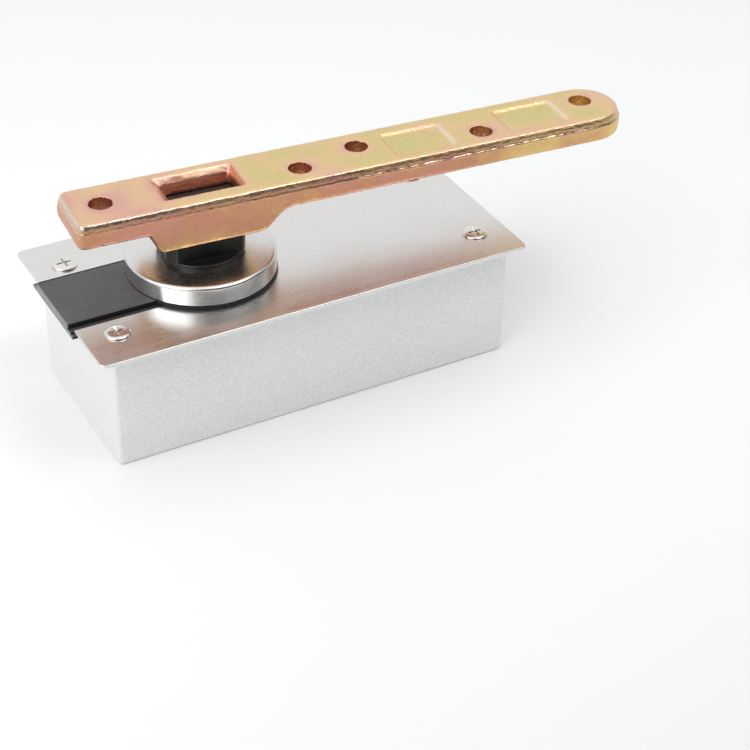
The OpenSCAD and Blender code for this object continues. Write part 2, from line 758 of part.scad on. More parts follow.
// The boss is its side view, with its foot rounded along both sides and its two
// back corners rounded along the flank.
module boss() {
    overlap = arm_foot_r + lap;
    run_out = s_curve(boss_foot_x1, 0, boss_top_x1, boss_h, 10);
    outline = concat([[boss_foot_x0 + boss_foot_r, 0]], run_out,
        [[boss_top_x1, boss_h + overlap], [boss_top_x0, boss_h + overlap], [boss_top_x0, boss_h],
         [boss_foot_x0, boss_foot_r]]);
    flank = atan(boss_lean / (boss_h - boss_foot_r));
    full_len = boss_top_x1 - boss_top_x0;
    tall = full_len + boss_h;
    translate([0, 0, boss_z0]) intersection() {
        translate([0, boss_half, 0]) rotate([90, 0, 0]) linear_extrude(2 * boss_half) polygon(outline);
        translate([boss_top_x0, 0, 0]) rotate([90, 0, 90]) linear_extrude(full_len)
            rounded_plan_up(boss_half, boss_h + 2 * overlap, boss_foot_r);
        translate([boss_top_x0, 0, boss_h]) rotate([0, -flank, 0]) translate([0, 0, -tall])
            linear_extrude(2 * tall) rounded_plan(0, 2 * full_len, boss_half, boss_corner_r);
    }
}

// An upright rectangle on y = 0 with its two lower corners rounded.
module rounded_plan_up(half, h, r) {
    translate([-half, r]) square([2 * half, h - r]);
    translate([-half + r, 0]) square([2 * (half - r), h]);
    for (x = [-half + r, half - r]) translate([x, r]) circle(r);
}

// A cut with four sloping walls: its mouth, the run-in of each wall and its depth.
// Mouth and run-in are given as [start, end, front, back].
module sloping_cut(mouth, run_in, z, depth) {
    along = [[mouth[0], eps], [mouth[0], 0], [mouth[0] + run_in[0], -depth],
        [mouth[1] - run_in[1], -depth], [mouth[1], 0], [mouth[1], eps]];
    across = [[mouth[2], eps], [mouth[2], 0], [mouth[2] + run_in[2], -depth],
        [mouth[3] - run_in[3], -depth], [mouth[3], 0], [mouth[3], eps]];
    translate([0, 0, z]) intersection() {
        translate([0, mouth[3], 0]) rotate([90, 0, 0]) linear_extrude(mouth[3] - mouth[2]) polygon(along);
        translate([mouth[0], 0, 0]) rotate([90, 0, 90]) linear_extrude(mouth[1] - mouth[0]) polygon(across);
    }
}

// The pocket over the driving block: a sloping rim above a narrowing throat.
module pocket() {
    mouth = [-pocket_len / 2, pocket_len / 2, pocket_y - pocket_w / 2, pocket_y + pocket_w / 2];
    rim = [pocket_slope_back, pocket_slope_front, pocket_slope_side, pocket_slope_side];
    throat_z = arm_z1 - pocket_slope_h;
    throat = [mouth[0] + rim[0], mouth[1] - rim[1], mouth[2] + rim[2], mouth[3] - rim[3]];
    sloping_cut(mouth, rim, arm_z1, pocket_slope_h);
    sloping_cut(throat, [throat_taper, 0, 0, throat_side_taper], throat_z, throat_z - block_z1 + eps);
}

module arm() {
    color("#c9a06a") rotate([0, 0, arm_angle]) difference() {
        union() {
            translate([0, 0, arm_z0]) arm_plate();
            boss();
        }
        translate([0, 0, boss_z0 - eps]) linear_extrude(block_z1 - boss_z0 + eps) block_section(socket_gap);
        pocket();
        for (at = arm_holes) translate([at[0], at[1], arm_z0 - eps])
            cylinder(d = hole_d, h = arm_t + 2 * eps);
        for (box = recesses)
            sloping_cut(box, [recess_step, recess_ramp, recess_step, recess_back], arm_z1, recess_h);
    }
}

// ---------------------------------------------------------------- carriage and springs

module roller_carriage() {
    fork_z0 = roller_z - roller_h / 2 - fork_gap;
    fork_z1 = roller_z + roller_h / 2 + fork_gap;
    color("darkolivegreen") difference() {
        union() {
            translate([roller_x - fork_nose, -fork_half, carriage_z0])
                cube([fork_nose + fork_back + lap, 2 * fork_half, carriage_z1 - carriage_z0]);
            translate([crosshead_x0, -carriage_half, carriage_z0])
                cube([crosshead_t, 2 * carriage_half, carriage_z1 - carriage_z0]);
            for (y = [-spring_spread / 2, spring_spread / 2]) translate([crosshead_x1 - lap, y, roller_z])
                rotate([0, 90, 0]) cylinder(r = spigot_r, h = spigot_len + lap);
        }
        translate([roller_x - fork_nose - eps, -fork_half - eps, min(fork_z0, cam_z0 - ease)])
            cube([fork_nose + fork_back - lap, 2 * fork_half + 2 * eps,
                max(fork_z1, cam_z1 + ease) - min(fork_z0, cam_z0 - ease)]);
        translate([roller_x, 0, carriage_z0 - eps])
            cylinder(d = pin_d, h = carriage_z1 - carriage_z0 + 2 * eps);
    }
}

module roller_pin() {
    color("silver") translate([roller_x, 0, carriage_z0])
        cylinder(d = pin_d, h = carriage_z1 - carriage_z0);
}

module cam_roller() {
    color("lightgray") translate([roller_x, 0, 0])
        ring(roller_d / 2, pin_d / 2 + run_gap, roller_z - roller_h / 2, roller_h);
}

module spring_seat(y) {
    color("gray") translate([seat_x0, y, roller_z]) rotate([0, 90, 0]) union() {
        cylinder(d = spring_d, h = seat_plate_t);
        translate([0, 0, -spigot_len]) cylinder(r = spigot_r, h = spigot_len + lap);
    }
}

module tension_screw(y) {
    color("darkgray") translate([seat_x1, y, roller_z]) rotate([0, 90, 0]) difference() {
        cylinder(d = tension_d, h = tension_x1 - seat_x1);
        translate([0, 0, tension_x1 - seat_x1 - tension_socket_depth])
            cylinder(d = tension_d * 0.5, h = tension_socket_depth + eps, $fn = 6);
    }
}

module lock_nut(y) {
    color("silver") translate([end_wall_x1, y, roller_z]) rotate([0, 90, 0]) difference() {
        cylinder(d = nut_across_flats / cos(30), h = nut_t, $fn = 6);
        translate([0, 0, -eps]) cylinder(d = tension_d, h = nut_t + 2 * eps);
    }
}

// Distance along the spring after t turns.
function coil_run(t) = wire_d / 2 + (t <= 1 ? t * coil_closed
    : t <= spring_turns - 1 ? coil_closed + (t - 1) * coil_open
    : coil_closed + (spring_turns - 2) * coil_open + (t - spring_turns + 1) * coil_closed);

module compression_spring(y) {
    steps_per_turn = 18;
    sides = 8;
    steps = spring_turns * steps_per_turn;
    mean_r = (spring_d - wire_d) / 2;
    rings = [for (i = [0 : steps]) for (j = [0 : sides - 1])
        let (turn = 360 * i / steps_per_turn, side = 360 * j / sides, r = mean_r + wire_d / 2 * cos(side))
            [coil_run(i / steps_per_turn) + wire_d / 2 * sin(side), r * cos(turn), r * sin(turn)]];
    walls = [for (i = [0 : steps - 1]) for (j = [0 : sides - 1])
        let (a = i * sides, b = (i + 1) * sides, k = (j + 1) % sides) [a + j, b + j, b + k, a + k]];
    caps = [[for (j = [0 : sides - 1]) j], [for (j = [sides - 1 : -1 : 0]) steps * sides + j]];
    color("#3c4a3c") translate([crosshead_x1, y, roller_z])
        polyhedron(points = rings, faces = concat(walls, caps), convexity = 10);
}

// ---------------------------------------------------------------- the pieces

cement_case();
for (i = [0 : 3]) {
    screw_post(i);
    cover_screw(i);
}
cover_plate();
slot_strip();
sealing_ring();
housing();
housing_lid();
for (i = [0 : 5]) {
    lid_screw(i);
}
for (i = [0 : 1]) {
    hold_down_bolt(i);
}
foot_bush();
neck_bush();
thrust_race_lower();
for (i = [0 : 1]) {
    y = (i - 0.5) * spring_spread;
    tension_screw(y);
    lock_nut(y);
    spring_seat(y);
    compression_spring(y);
}
spindle();
cam_disc();
cam_key();
cam_circlip();
thrust_race_upper();
disc_cap();
arm();
thrust_cage();
thrust_balls();
roller_carriage();
roller_pin();
cam_roller();
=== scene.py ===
"""Looks of a heavy-duty floor pivot hinge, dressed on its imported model.

A silver cement case is closed by a brushed cover plate. A black spindle rises
through the plate and a round disc cap, and carries a cast arm in iridescent
yellow zinc. Lengths are in metres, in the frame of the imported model.
"""

import functools
import json
import logging
import math
from dataclasses import dataclass
from enum import Enum

import bpy
import numpy as np
from mathutils import Matrix, Vector, noise

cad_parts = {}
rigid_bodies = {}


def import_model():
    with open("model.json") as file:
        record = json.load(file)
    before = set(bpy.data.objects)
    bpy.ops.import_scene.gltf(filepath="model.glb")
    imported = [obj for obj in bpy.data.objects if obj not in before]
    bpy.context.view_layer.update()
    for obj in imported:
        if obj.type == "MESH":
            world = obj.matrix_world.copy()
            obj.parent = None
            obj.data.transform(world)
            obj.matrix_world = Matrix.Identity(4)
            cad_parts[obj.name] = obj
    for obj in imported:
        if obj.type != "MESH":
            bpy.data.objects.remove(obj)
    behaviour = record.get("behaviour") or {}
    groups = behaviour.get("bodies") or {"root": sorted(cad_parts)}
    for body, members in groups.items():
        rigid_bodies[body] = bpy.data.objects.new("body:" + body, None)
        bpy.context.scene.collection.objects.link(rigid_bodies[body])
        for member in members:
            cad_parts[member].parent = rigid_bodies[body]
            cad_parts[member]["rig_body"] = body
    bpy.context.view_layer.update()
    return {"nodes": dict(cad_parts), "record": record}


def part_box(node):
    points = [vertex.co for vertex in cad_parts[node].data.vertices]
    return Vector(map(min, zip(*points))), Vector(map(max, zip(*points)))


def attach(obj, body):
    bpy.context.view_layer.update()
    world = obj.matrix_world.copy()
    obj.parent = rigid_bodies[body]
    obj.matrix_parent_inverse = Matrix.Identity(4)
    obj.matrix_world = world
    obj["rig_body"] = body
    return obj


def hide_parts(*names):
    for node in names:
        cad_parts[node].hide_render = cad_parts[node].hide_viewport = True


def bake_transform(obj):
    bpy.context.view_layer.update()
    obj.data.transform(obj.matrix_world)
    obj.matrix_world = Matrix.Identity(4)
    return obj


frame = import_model()

MM = 0.001
# Paler, smoother film on the arm: part wear, part painted highlight.
FILM_VALUE = "film"
WEAR_AND_HIGHLIGHT_VALUE = "worn"
Colour = tuple[float, float, float]
Stops = tuple[tuple[float, Colour], ...]  # places on a colour ramp, each with its colour
Place = tuple[float, float, float]  # a point, or a direction
Span = tuple[float, float]  # the start and end of a range, or a width and a height
Socket = bpy.types.NodeSocket
Value = Socket | float | tuple[float, ...]  # what an input takes: a link, or a number, vector or colour

log = logging.getLogger("floor_pivot")


# ------------------------------------------------------------------ node graphs


class Graph:
    """A shader node tree that is being wired."""

    def __init__(self, tree: bpy.types.NodeTree) -> None:
        """Takes the tree that the nodes go into."""
        self.tree = tree

    def add(self, kind: str, sockets: dict[str | int, Value] | None = None, **settings: object) -> bpy.types.Node:
        """Adds one node, sets it and feeds its inputs.

        Args:
            kind: The node's type.
            sockets: What each input takes, by name or number: a socket or a value.
            **settings: Attributes of the node.

        Returns:
            The new node.
        """
        node = self.tree.nodes.new(kind)
        for name, value in settings.items():
            setattr(node, name, value)
        for name, value in (sockets or {}).items():
            self.feed(node.inputs[name], value)
        return node

    def feed(self, socket: Socket, value: Value) -> None:
        """Links a socket to an input, or sets the input's own value.

        Args:
            socket: The input.
            value: A socket, or a number or colour.
        """
        if isinstance(value, Socket):
            self.tree.links.new(value, socket)
        elif isinstance(value, tuple) and len(value) == 3 and socket.type == "RGBA":
            socket.default_value = (*value, 1.0)
        else:
            socket.default_value = value

    def math(self, operation: str, *terms: Value) -> Socket:
        """The result of a Math node on the given terms."""
        return self.add("ShaderNodeMath", dict(enumerate(terms)), operation=operation).outputs[0]

    def spread(self, value: Socket, width: float) -> Socket:
        """A value from 0 to 1 spread over a width, half of it on either side of 0."""
        return self.math("MULTIPLY_ADD", value, width, -0.5 * width)

    def stretch(self, vector: Socket, scale: Place) -> Socket:
        """A vector stretched along each axis."""
        return self.add("ShaderNodeVectorMath", {0: vector, 1: scale}, operation="MULTIPLY").outputs[0]

    def toward(self, vector: Socket, way: Value) -> Socket:
        """How far a vector points along a way."""
        return self.add("ShaderNodeVectorMath", {0: vector, 1: way}, operation="DOT_PRODUCT").outputs["Value"]

    def parts(self, vector: Socket) -> bpy.types.NodeOutputs:
        """A vector's X, Y and Z."""
        return self.add("ShaderNodeSeparateXYZ", {0: vector}).outputs

    def noise(self, vector: Value, scale: Value, detail: float = 3.0, rough: float = 0.55) -> Socket:
        """The factor of a Noise Texture."""
        sockets = {"Vector": vector, "Scale": scale, "Detail": detail, "Roughness": rough}
        return self.add("ShaderNodeTexNoise", sockets).outputs["Fac"]

    def remap(self, value: Value, low: Value, high: Value, to_low: Value = 0.0, to_high: Value = 1.0) -> Socket:
        """A value taken from one range to another along a smooth curve, and held inside it."""
        sockets = {"Value": value, "From Min": low, "From Max": high, "To Min": to_low, "To Max": to_high}
        return self.add("ShaderNodeMapRange", sockets, interpolation_type="SMOOTHSTEP").outputs["Result"]

    def between(self, share: Value, first: Value, second: Value) -> Socket:
        """A number between two others."""
        return self.add("ShaderNodeMix", {0: share, 2: first, 3: second}).outputs[0]

    def mix(self, share: Value, first: Value, second: Value) -> Socket:
        """A colour between two others.

        Args:
            share: How much of the second colour it has, from 0 to 1.
            first: The first colour.
            second: The second colour.

        Returns:
            The mixed colour.
        """
        node = self.add("ShaderNodeMix", data_type="RGBA")
        for number, value in ((0, share), (6, first), (7, second)):
            self.feed(node.inputs[number], value)
        return node.outputs[2]

    def ramp(self, value: Socket, stops: Stops) -> Socket:
        """A colour ramp.

        Args:
            value: The place on the ramp, from 0 to 1.
            stops: Each stop's place and colour.

        Returns:
            The ramp's colour.
        """
        node = self.add("ShaderNodeValToRGB", {"Fac": value})
        elements = node.color_ramp.elements
        elements.remove(elements[1])
        elements[0].position, elements[0].color = stops[0][0], (*stops[0][1], 1.0)
        for place, colour in stops[1:]:
            elements.new(place).color = (*colour, 1.0)
        return node.outputs["Color"]

    def attribute(self, name: str) -> Socket:
        """The value that a mesh holds under a name."""
        return self.add("ShaderNodeAttribute", attribute_name=name).outputs["Fac"]

    def object_place(self) -> Socket:
        """The surface point in the piece's own frame."""
        return self.add("ShaderNodeTexCoord").outputs["Object"]

    def facing_up(self) -> Socket:
        """How far the surface faces up, from -1 to 1."""
        return self.parts(self.add("ShaderNodeNewGeometry").outputs["True Normal"])[2]


# ------------------------------------------------------------------ shared effects


class Effect(Enum):
    """The surface effects that the finishes are made of, each a node group."""

    GRAIN = "cast_grain"
    BRUSH = "brushed_lay"
    SMUDGE = "handling_smudges"
    EDGE = "worn_edges"
    SPECK = "loose_specks"
    FILM = "passivate_film"


LAY_STRETCH = 0.012
TURN_STRETCH = 0.0004
CLOUD_SPREAD = 0.56
MOTTLE_SPREAD = 0.36
FACE_TINTS: Stops = (
    (0.02, (0.68, 0.62, 0.27)), (0.25, (0.76, 0.61, 0.28)), (0.48, (0.84, 0.60, 0.32)),
    (0.72, (0.84, 0.53, 0.36)), (0.96, (0.78, 0.45, 0.36)))
# Tints for the sides: rosier than the face tints, and darker, the darkening being painted shade.
SHADED_SIDE_TINTS: Stops = (
    (0.02, (0.78, 0.58, 0.22)), (0.28, (0.80, 0.50, 0.22)), (0.52, (0.66, 0.38, 0.18)),
    (0.76, (0.60, 0.29, 0.17)), (0.96, (0.62, 0.29, 0.21)))


def begin_group(kind: Effect, takes: dict[str, float | None],
                gives: tuple[str, ...]) -> tuple[Graph, dict[str, Socket], dict[str, Socket]]:
    """Starts a node group with its named inputs and outputs.

    Args:
        kind: The effect that the group makes.
        takes: Each input's name and default, None for a vector.
        gives: The outputs' names; one that ends in "Color" is a colour.

    Returns:
        The group's graph, its input sockets and its output sockets, by name.
    """
    tree = bpy.data.node_groups.new(kind.value, "ShaderNodeTree")
    for name, default in takes.items():
        form = "NodeSocketVector" if default is None else "NodeSocketFloat"
        socket = tree.interface.new_socket(name=name, in_out="INPUT", socket_type=form)
        if default is not None:
            socket.default_value = default
    for name in gives:
        form = "NodeSocketColor" if name.endswith("Color") else "NodeSocketFloat"
        tree.interface.new_socket(name=name, in_out="OUTPUT", socket_type=form)
    graph = Graph(tree)
    source = graph.add("NodeGroupInput")
    sink = graph.add("NodeGroupOutput")
    return graph, {n: source.outputs[n] for n in takes}, {n: sink.inputs[n] for n in gives}


def build_grain() -> None:
    """Builds the grain of a cast or blasted skin: a height, and a slow change of tone."""
    graph, takes, gives = begin_group(Effect.GRAIN, {"Vector": None, "Scale": 900.0}, ("Height", "Tone"))
    coarse = graph.noise(takes["Vector"], takes["Scale"], 4.0, 0.6)
    fine = graph.noise(takes["Vector"], graph.math("MULTIPLY", takes["Scale"], 3.1), 2.0)
    slow = graph.noise(takes["Vector"], graph.math("MULTIPLY", takes["Scale"], 0.07), 3.0)
    graph.feed(gives["Height"], graph.math("MULTIPLY_ADD", fine, 0.35, coarse))
    graph.feed(gives["Tone"], graph.remap(slow, 0.35, 0.65))


def build_brush() -> None:
    """Builds the fine lines of brushing, straight along X or turned round Z."""
    graph, takes, gives = begin_group(
        Effect.BRUSH, {"Vector": None, "Scale": 9000.0, "Turned": 0.0}, ("Height", "Tone"))
    straight = graph.stretch(takes["Vector"], (LAY_STRETCH, 1.0, 1.0))
    parts = graph.parts(takes["Vector"])
    radius = graph.math("SQRT", graph.math(
        "ADD", graph.math("MULTIPLY", parts[0], parts[0]), graph.math("MULTIPLY", parts[1], parts[1])))
    arc = graph.math("MULTIPLY", graph.math("ARCTAN2", parts[1], parts[0]), TURN_STRETCH)
    round_z = graph.add("ShaderNodeCombineXYZ", {0: arc, 1: radius, 2: parts[2]}).outputs[0]
    lay = graph.add("ShaderNodeMix", data_type="VECTOR")
    for number, value in ((0, takes["Turned"]), (4, straight), (5, round_z)):
        graph.feed(lay.inputs[number], value)
    lines = graph.noise(lay.outputs[1], takes["Scale"], 3.0, 0.6)
    broad = graph.noise(lay.outputs[1], graph.math("MULTIPLY", takes["Scale"], 0.13), 3.0)
    graph.feed(gives["Height"], graph.math("MULTIPLY_ADD", broad, 0.5, lines))
    graph.feed(gives["Tone"], graph.remap(broad, 0.3, 0.7))


def build_smudge() -> None:
    """Builds soft smudges of handling, from 0 on clean metal to 1."""
    graph, takes, gives = begin_group(Effect.SMUDGE, {"Vector": None, "Scale": 45.0}, ("Mask",))
    wide = graph.noise(takes["Vector"], takes["Scale"], 4.0, 0.6)
    small = graph.noise(takes["Vector"], graph.math("MULTIPLY", takes["Scale"], 6.0), 2.0)
    graph.feed(gives["Mask"], graph.remap(graph.math("MULTIPLY_ADD", small, 0.3, wide), 0.45, 0.95))


def build_edge() -> None:
    """Builds a mask of the edges, where handling wears a finish."""
    graph, takes, gives = begin_group(Effect.EDGE, {"Vector": None, "Radius": 0.0005, "Ragged": 0.5}, ("Mask",))
    rounded = graph.add("ShaderNodeBevel", {"Radius": takes["Radius"]}, samples=4).outputs[0]
    true = graph.add("ShaderNodeNewGeometry").outputs["Normal"]
    speckle = graph.math("SUBTRACT", graph.noise(takes["Vector"], 900.0), 0.5)
    match = graph.math("ADD", graph.toward(rounded, true), graph.math("MULTIPLY", speckle, takes["Ragged"]))
    graph.feed(gives["Mask"], graph.remap(match, 0.86, 0.64))


def build_speck() -> None:
    """Builds small scattered specks of dust or grit."""
    graph, takes, gives = begin_group(
        Effect.SPECK, {"Vector": None, "Scale": 260.0, "Size": 0.06, "Share": 0.12}, ("Mask",))
    cells = graph.add("ShaderNodeTexVoronoi", {"Vector": takes["Vector"], "Scale": takes["Scale"]})
    dot = graph.math("LESS_THAN", cells.outputs["Distance"], takes["Size"])
    pick = graph.add("ShaderNodeSeparateColor", {0: cells.outputs["Color"]}).outputs[0]
    graph.feed(gives["Mask"], graph.math("MULTIPLY", dot, graph.math("LESS_THAN", pick, takes["Share"])))


def build_film() -> None:
    """Builds the shifting tints of a chromate film on zinc, greener where it is thin and rosier where thick, with
    darker tints on the sides as painted shade.
    """
    graph, takes, gives = begin_group(
        Effect.FILM, {"Vector": None, "Scale": 42.0, "Thickness": 0.4, "Side": 0.0}, ("Film Color",))
    warped = graph.add("ShaderNodeTexNoise", {
        "Vector": takes["Vector"], "Scale": takes["Scale"], "Detail": 3.0, "Roughness": 0.5, "Distortion": 0.4})
    cloud = graph.spread(graph.remap(warped.outputs["Fac"], 0.28, 0.72), CLOUD_SPREAD)
    mottle = graph.spread(graph.noise(takes["Vector"], 700.0, 3.0, 0.7), MOTTLE_SPREAD)
    layer = graph.math("ADD", takes["Thickness"], graph.math("ADD", cloud, mottle))
    tint = graph.mix(takes["Side"], graph.ramp(layer, FACE_TINTS), graph.ramp(layer, SHADED_SIDE_TINTS))
    graph.feed(gives["Film Color"], tint)


def build_effects() -> None:
    """Builds each shared effect once."""
    for build in (build_grain, build_brush, build_smudge, build_edge, build_speck, build_film):
        build()


def effect(graph: Graph, kind: Effect, **values: Value) -> bpy.types.NodeOutputs:
    """Places a shared effect in a material.

    Args:
        graph: The material's graph.
        kind: The effect.
        **values: What its inputs take; the place on the surface is filled in.

    Returns:
        The effect's outputs.
    """
    node = graph.add("ShaderNodeGroup", node_tree=bpy.data.node_groups[kind.value])
    for name, value in {"Vector": graph.object_place(), **values}.items():
        graph.feed(node.inputs[name], value)
    return node.outputs


# ------------------------------------------------------------------ finishes


@dataclass(frozen=True)
class Finish:
    """A surface finish: its name, and the material that it makes."""

    name: str

    def shade(self, graph: Graph) -> dict[str, Value]:
        """What the shader's inputs take, by name."""
        raise NotImplementedError

    @functools.cache
    def material(self) -> bpy.types.Material:
        """The finish's material, made on its first use.

        Returns:
            The material.
        """
        made = bpy.data.materials.new(f"{self.name}_finish")
        made.use_nodes = True
        made.node_tree.nodes.clear()
        graph = Graph(made.node_tree)
        shader = graph.add("ShaderNodeBsdfPrincipled", self.shade(graph))
        graph.add("ShaderNodeOutputMaterial", {"Surface": shader.outputs[0]})
        return made

    def bump(self, graph: Graph, height: Socket, depth: float, strength: float = 1.0) -> Socket:
        """A surface normal from a height of 0 to about 1, where depth is how deep a height of 1 is."""
        sockets = {"Height": height, "Distance": depth, "Strength": strength}
        return graph.add("ShaderNodeBump", sockets).outputs["Normal"]


def toned(colour: Colour, level: float) -> Colour:
    """A colour made darker or lighter, never over 1."""
    return tuple(min(1.0, level * c) for c in colour)


@dataclass(frozen=True)
class Dust:
    """Specks of dust or grit: cells a metre, a speck's size, the share of cells with one, and how they show."""

    scale: float
    size: float
    share: float
    strength: float
    colour: Colour

    def mask(self, graph: Graph) -> Socket:
        """Where the specks lie, from 0 to their strength."""
        specks = effect(graph, Effect.SPECK, Scale=self.scale, Size=self.size, Share=self.share)
        return graph.math("MULTIPLY", specks["Mask"], self.strength)

    def over(self, graph: Graph, colour: Value) -> Socket:
        """A finish's colour with the specks on it."""
        return graph.mix(self.mask(graph), colour, self.colour)


@dataclass(frozen=True)
class SilverCase(Finish):
    """Light silver sheet with a fine sparkling grain."""

    colour: Colour = (0.925, 0.94, 0.93)
    dull_level: float = 0.74
    metal: float = 0.5
    roughness: Span = (0.50, 0.42)
    flake_gloss: float = 0.10
    grain_scale: float = 2100.0
    grain_depth: float = 0.02 * MM
    smudge_scale: float = 28.0
    dust: Dust = Dust(150.0, 0.045, 0.10, 0.5, (0.30, 0.31, 0.32))

    def shade(self, graph: Graph) -> dict[str, Value]:
        """Silver, with bright and dull grains and a few marks.

        Args:
            graph: The material's graph.

        Returns:
            What the shader's inputs take, by name.
        """
        grain = effect(graph, Effect.GRAIN, Scale=self.grain_scale)
        smudge = effect(graph, Effect.SMUDGE, Scale=self.smudge_scale)
        flake = graph.remap(grain["Height"], 0.45, 0.90)
        colour = graph.mix(flake, toned(self.colour, self.dull_level), self.colour)
        rough = graph.remap(smudge["Mask"], 0.0, 1.0, *self.roughness)
        return {
            "Base Color": self.dust.over(graph, colour), "Metallic": self.metal,
            "Roughness": graph.math("MULTIPLY_ADD", flake, -self.flake_gloss, rough),
            "Normal": self.bump(graph, grain["Height"], self.grain_depth, 0.5)}


@dataclass(frozen=True)
class BrushedSteel(Finish):
    """Stainless steel with fine brushing lines, straight or turned."""

    colour: Colour = (0.79, 0.78, 0.765)
    dull_level: float = 0.96
    turned: float = 0.0
    roughness: float = 0.25
    line_rough: float = 0.05
    line_depth: float = 0.004 * MM
    smudge_rough: float = 0.06
    smudge_scale: float = 30.0
    dust: Dust = Dust(180.0, 0.05, 0.06, 0.7, (0.16, 0.14, 0.13))

    def shade(self, graph: Graph) -> dict[str, Value]:
        """Steel whose lines spread its reflections across their lay.

        Args:
            graph: The material's graph.

        Returns:
            What the shader's inputs take, by name.
        """
        lay = effect(graph, Effect.BRUSH, Turned=self.turned)
        smudge = effect(graph, Effect.SMUDGE, Scale=self.smudge_scale)
        colour = graph.mix(lay["Tone"], toned(self.colour, self.dull_level), self.colour)
        rough = graph.remap(smudge["Mask"], 0.0, 1.0, self.roughness, self.roughness + self.smudge_rough)
        return {
            "Base Color": self.dust.over(graph, colour), "Metallic": 1.0,
            "Roughness": graph.math("MULTIPLY_ADD", lay["Tone"], self.line_rough, rough),
            "Normal": self.bump(graph, lay["Height"], self.line_depth)}


@dataclass(frozen=True)
class BlackRubber(Finish):
    """Extruded black rubber with a faint bloom and dust, its sides darkened as painted shade, and a greyer end
    where it is cut across.
    """

    colour: Colour = (0.040, 0.040, 0.042)
    # How dark the sides are against the top: painted shade.
    shaded_side_level: float = 0.45
    rubbed_level: float = 1.9
    roughness: Span = (0.36, 0.50)
    gloss: float = 0.15
    bloom: float = 0.95
    bloom_rough: float = 0.42
    grain_scale: float = 1500.0
    grain_depth: float = 0.02 * MM
    smudge_scale: float = 60.0
    dust: Dust = Dust(700.0, 0.10, 0.10, 0.35, (0.32, 0.32, 0.33))
    cut_x: float | None = None
    cut_colour: Colour = (0.36, 0.365, 0.37)
    cut_share: float = 0.8
    cut_reach: Span = (1.6 * MM, 0.9 * MM)

    def shade(self, graph: Graph) -> dict[str, Value]:
        """Rubber that is greyer on top, where it is walked on, and darker on its sides, where the darkening is
        painted shade.

        Args:
            graph: The material's graph.

        Returns:
            What the shader's inputs take, by name.
        """
        grain = effect(graph, Effect.GRAIN, Scale=self.grain_scale)
        smudge = effect(graph, Effect.SMUDGE, Scale=self.smudge_scale)
        # Up-facing faces take the walked-on grey and the bloom; the darker sides are painted shade.
        walked_top_shaded_sides = graph.remap(graph.facing_up(), 0.4, 0.9)
        rubbed = graph.mix(smudge["Mask"], self.colour, toned(self.colour, self.rubbed_level))
        colour = self.dust.over(graph, graph.mix(walked_top_shaded_sides, toned(self.colour, self.shaded_side_level), rubbed))
        if self.cut_x is not None:
            inward = graph.math("SUBTRACT", graph.parts(graph.object_place())[0], self.cut_x)
            torn = graph.math("MULTIPLY_ADD", grain["Height"], self.cut_reach[0], inward)
            cut_end = graph.remap(torn, *self.cut_reach, 0.0, self.cut_share)
            colour = graph.mix(cut_end, colour, self.cut_colour)
        return {
            "Base Color": colour, "Roughness": graph.remap(smudge["Mask"], 0.0, 1.0, *self.roughness),
            "Specular IOR Level": self.gloss, "Coat Roughness": self.bloom_rough,
            "Coat Weight": graph.math("MULTIPLY", walked_top_shaded_sides, self.bloom),
            "Normal": self.bump(graph, grain["Height"], self.grain_depth, 0.6)}


@dataclass(frozen=True)
class BlackOxide(Finish):
    """Blackened steel, worn to grey at its edges."""

    colour: Colour = (0.010, 0.0095, 0.009)
    scuff_colour: Colour = (0.035, 0.033, 0.031)
    bare_colour: Colour = (0.42, 0.40, 0.38)
    roughness: Span = (0.30, 0.42)
    gloss: float = 0.35
    line_scale: float = 5000.0
    grain_scale: float = 1400.0
    relief: float = 0.02 * MM
    edge_radius: float = 0.7 * MM
    edge_bare: float = 0.8
    dust: Dust = Dust(420.0, 0.10, 0.10, 0.4, bare_colour)

    def shade(self, graph: Graph) -> dict[str, Value]:
        """Black steel with machining lines, scuffs and bare edges.

        Args:
            graph: The material's graph.

        Returns:
            What the shader's inputs take, by name.
        """
        lay = effect(graph, Effect.BRUSH, Turned=1.0, Scale=self.line_scale)
        grain = effect(graph, Effect.GRAIN, Scale=self.grain_scale)
        edge = effect(graph, Effect.EDGE, Radius=self.edge_radius, Ragged=0.35)
        scuff = graph.math("MULTIPLY", graph.remap(grain["Height"], 0.80, 1.05), 0.5)
        bare = graph.math("MAXIMUM", graph.math("MULTIPLY", edge["Mask"], self.edge_bare), self.dust.mask(graph))
        height = graph.math("ADD", lay["Height"], grain["Height"])
        return {
            "Base Color": graph.mix(bare, graph.mix(scuff, self.colour, self.scuff_colour), self.bare_colour),
            "Metallic": bare, "Roughness": graph.remap(grain["Tone"], 0.0, 1.0, *self.roughness),
            "Specular IOR Level": self.gloss, "Normal": self.bump(graph, height, self.relief, 0.6)}


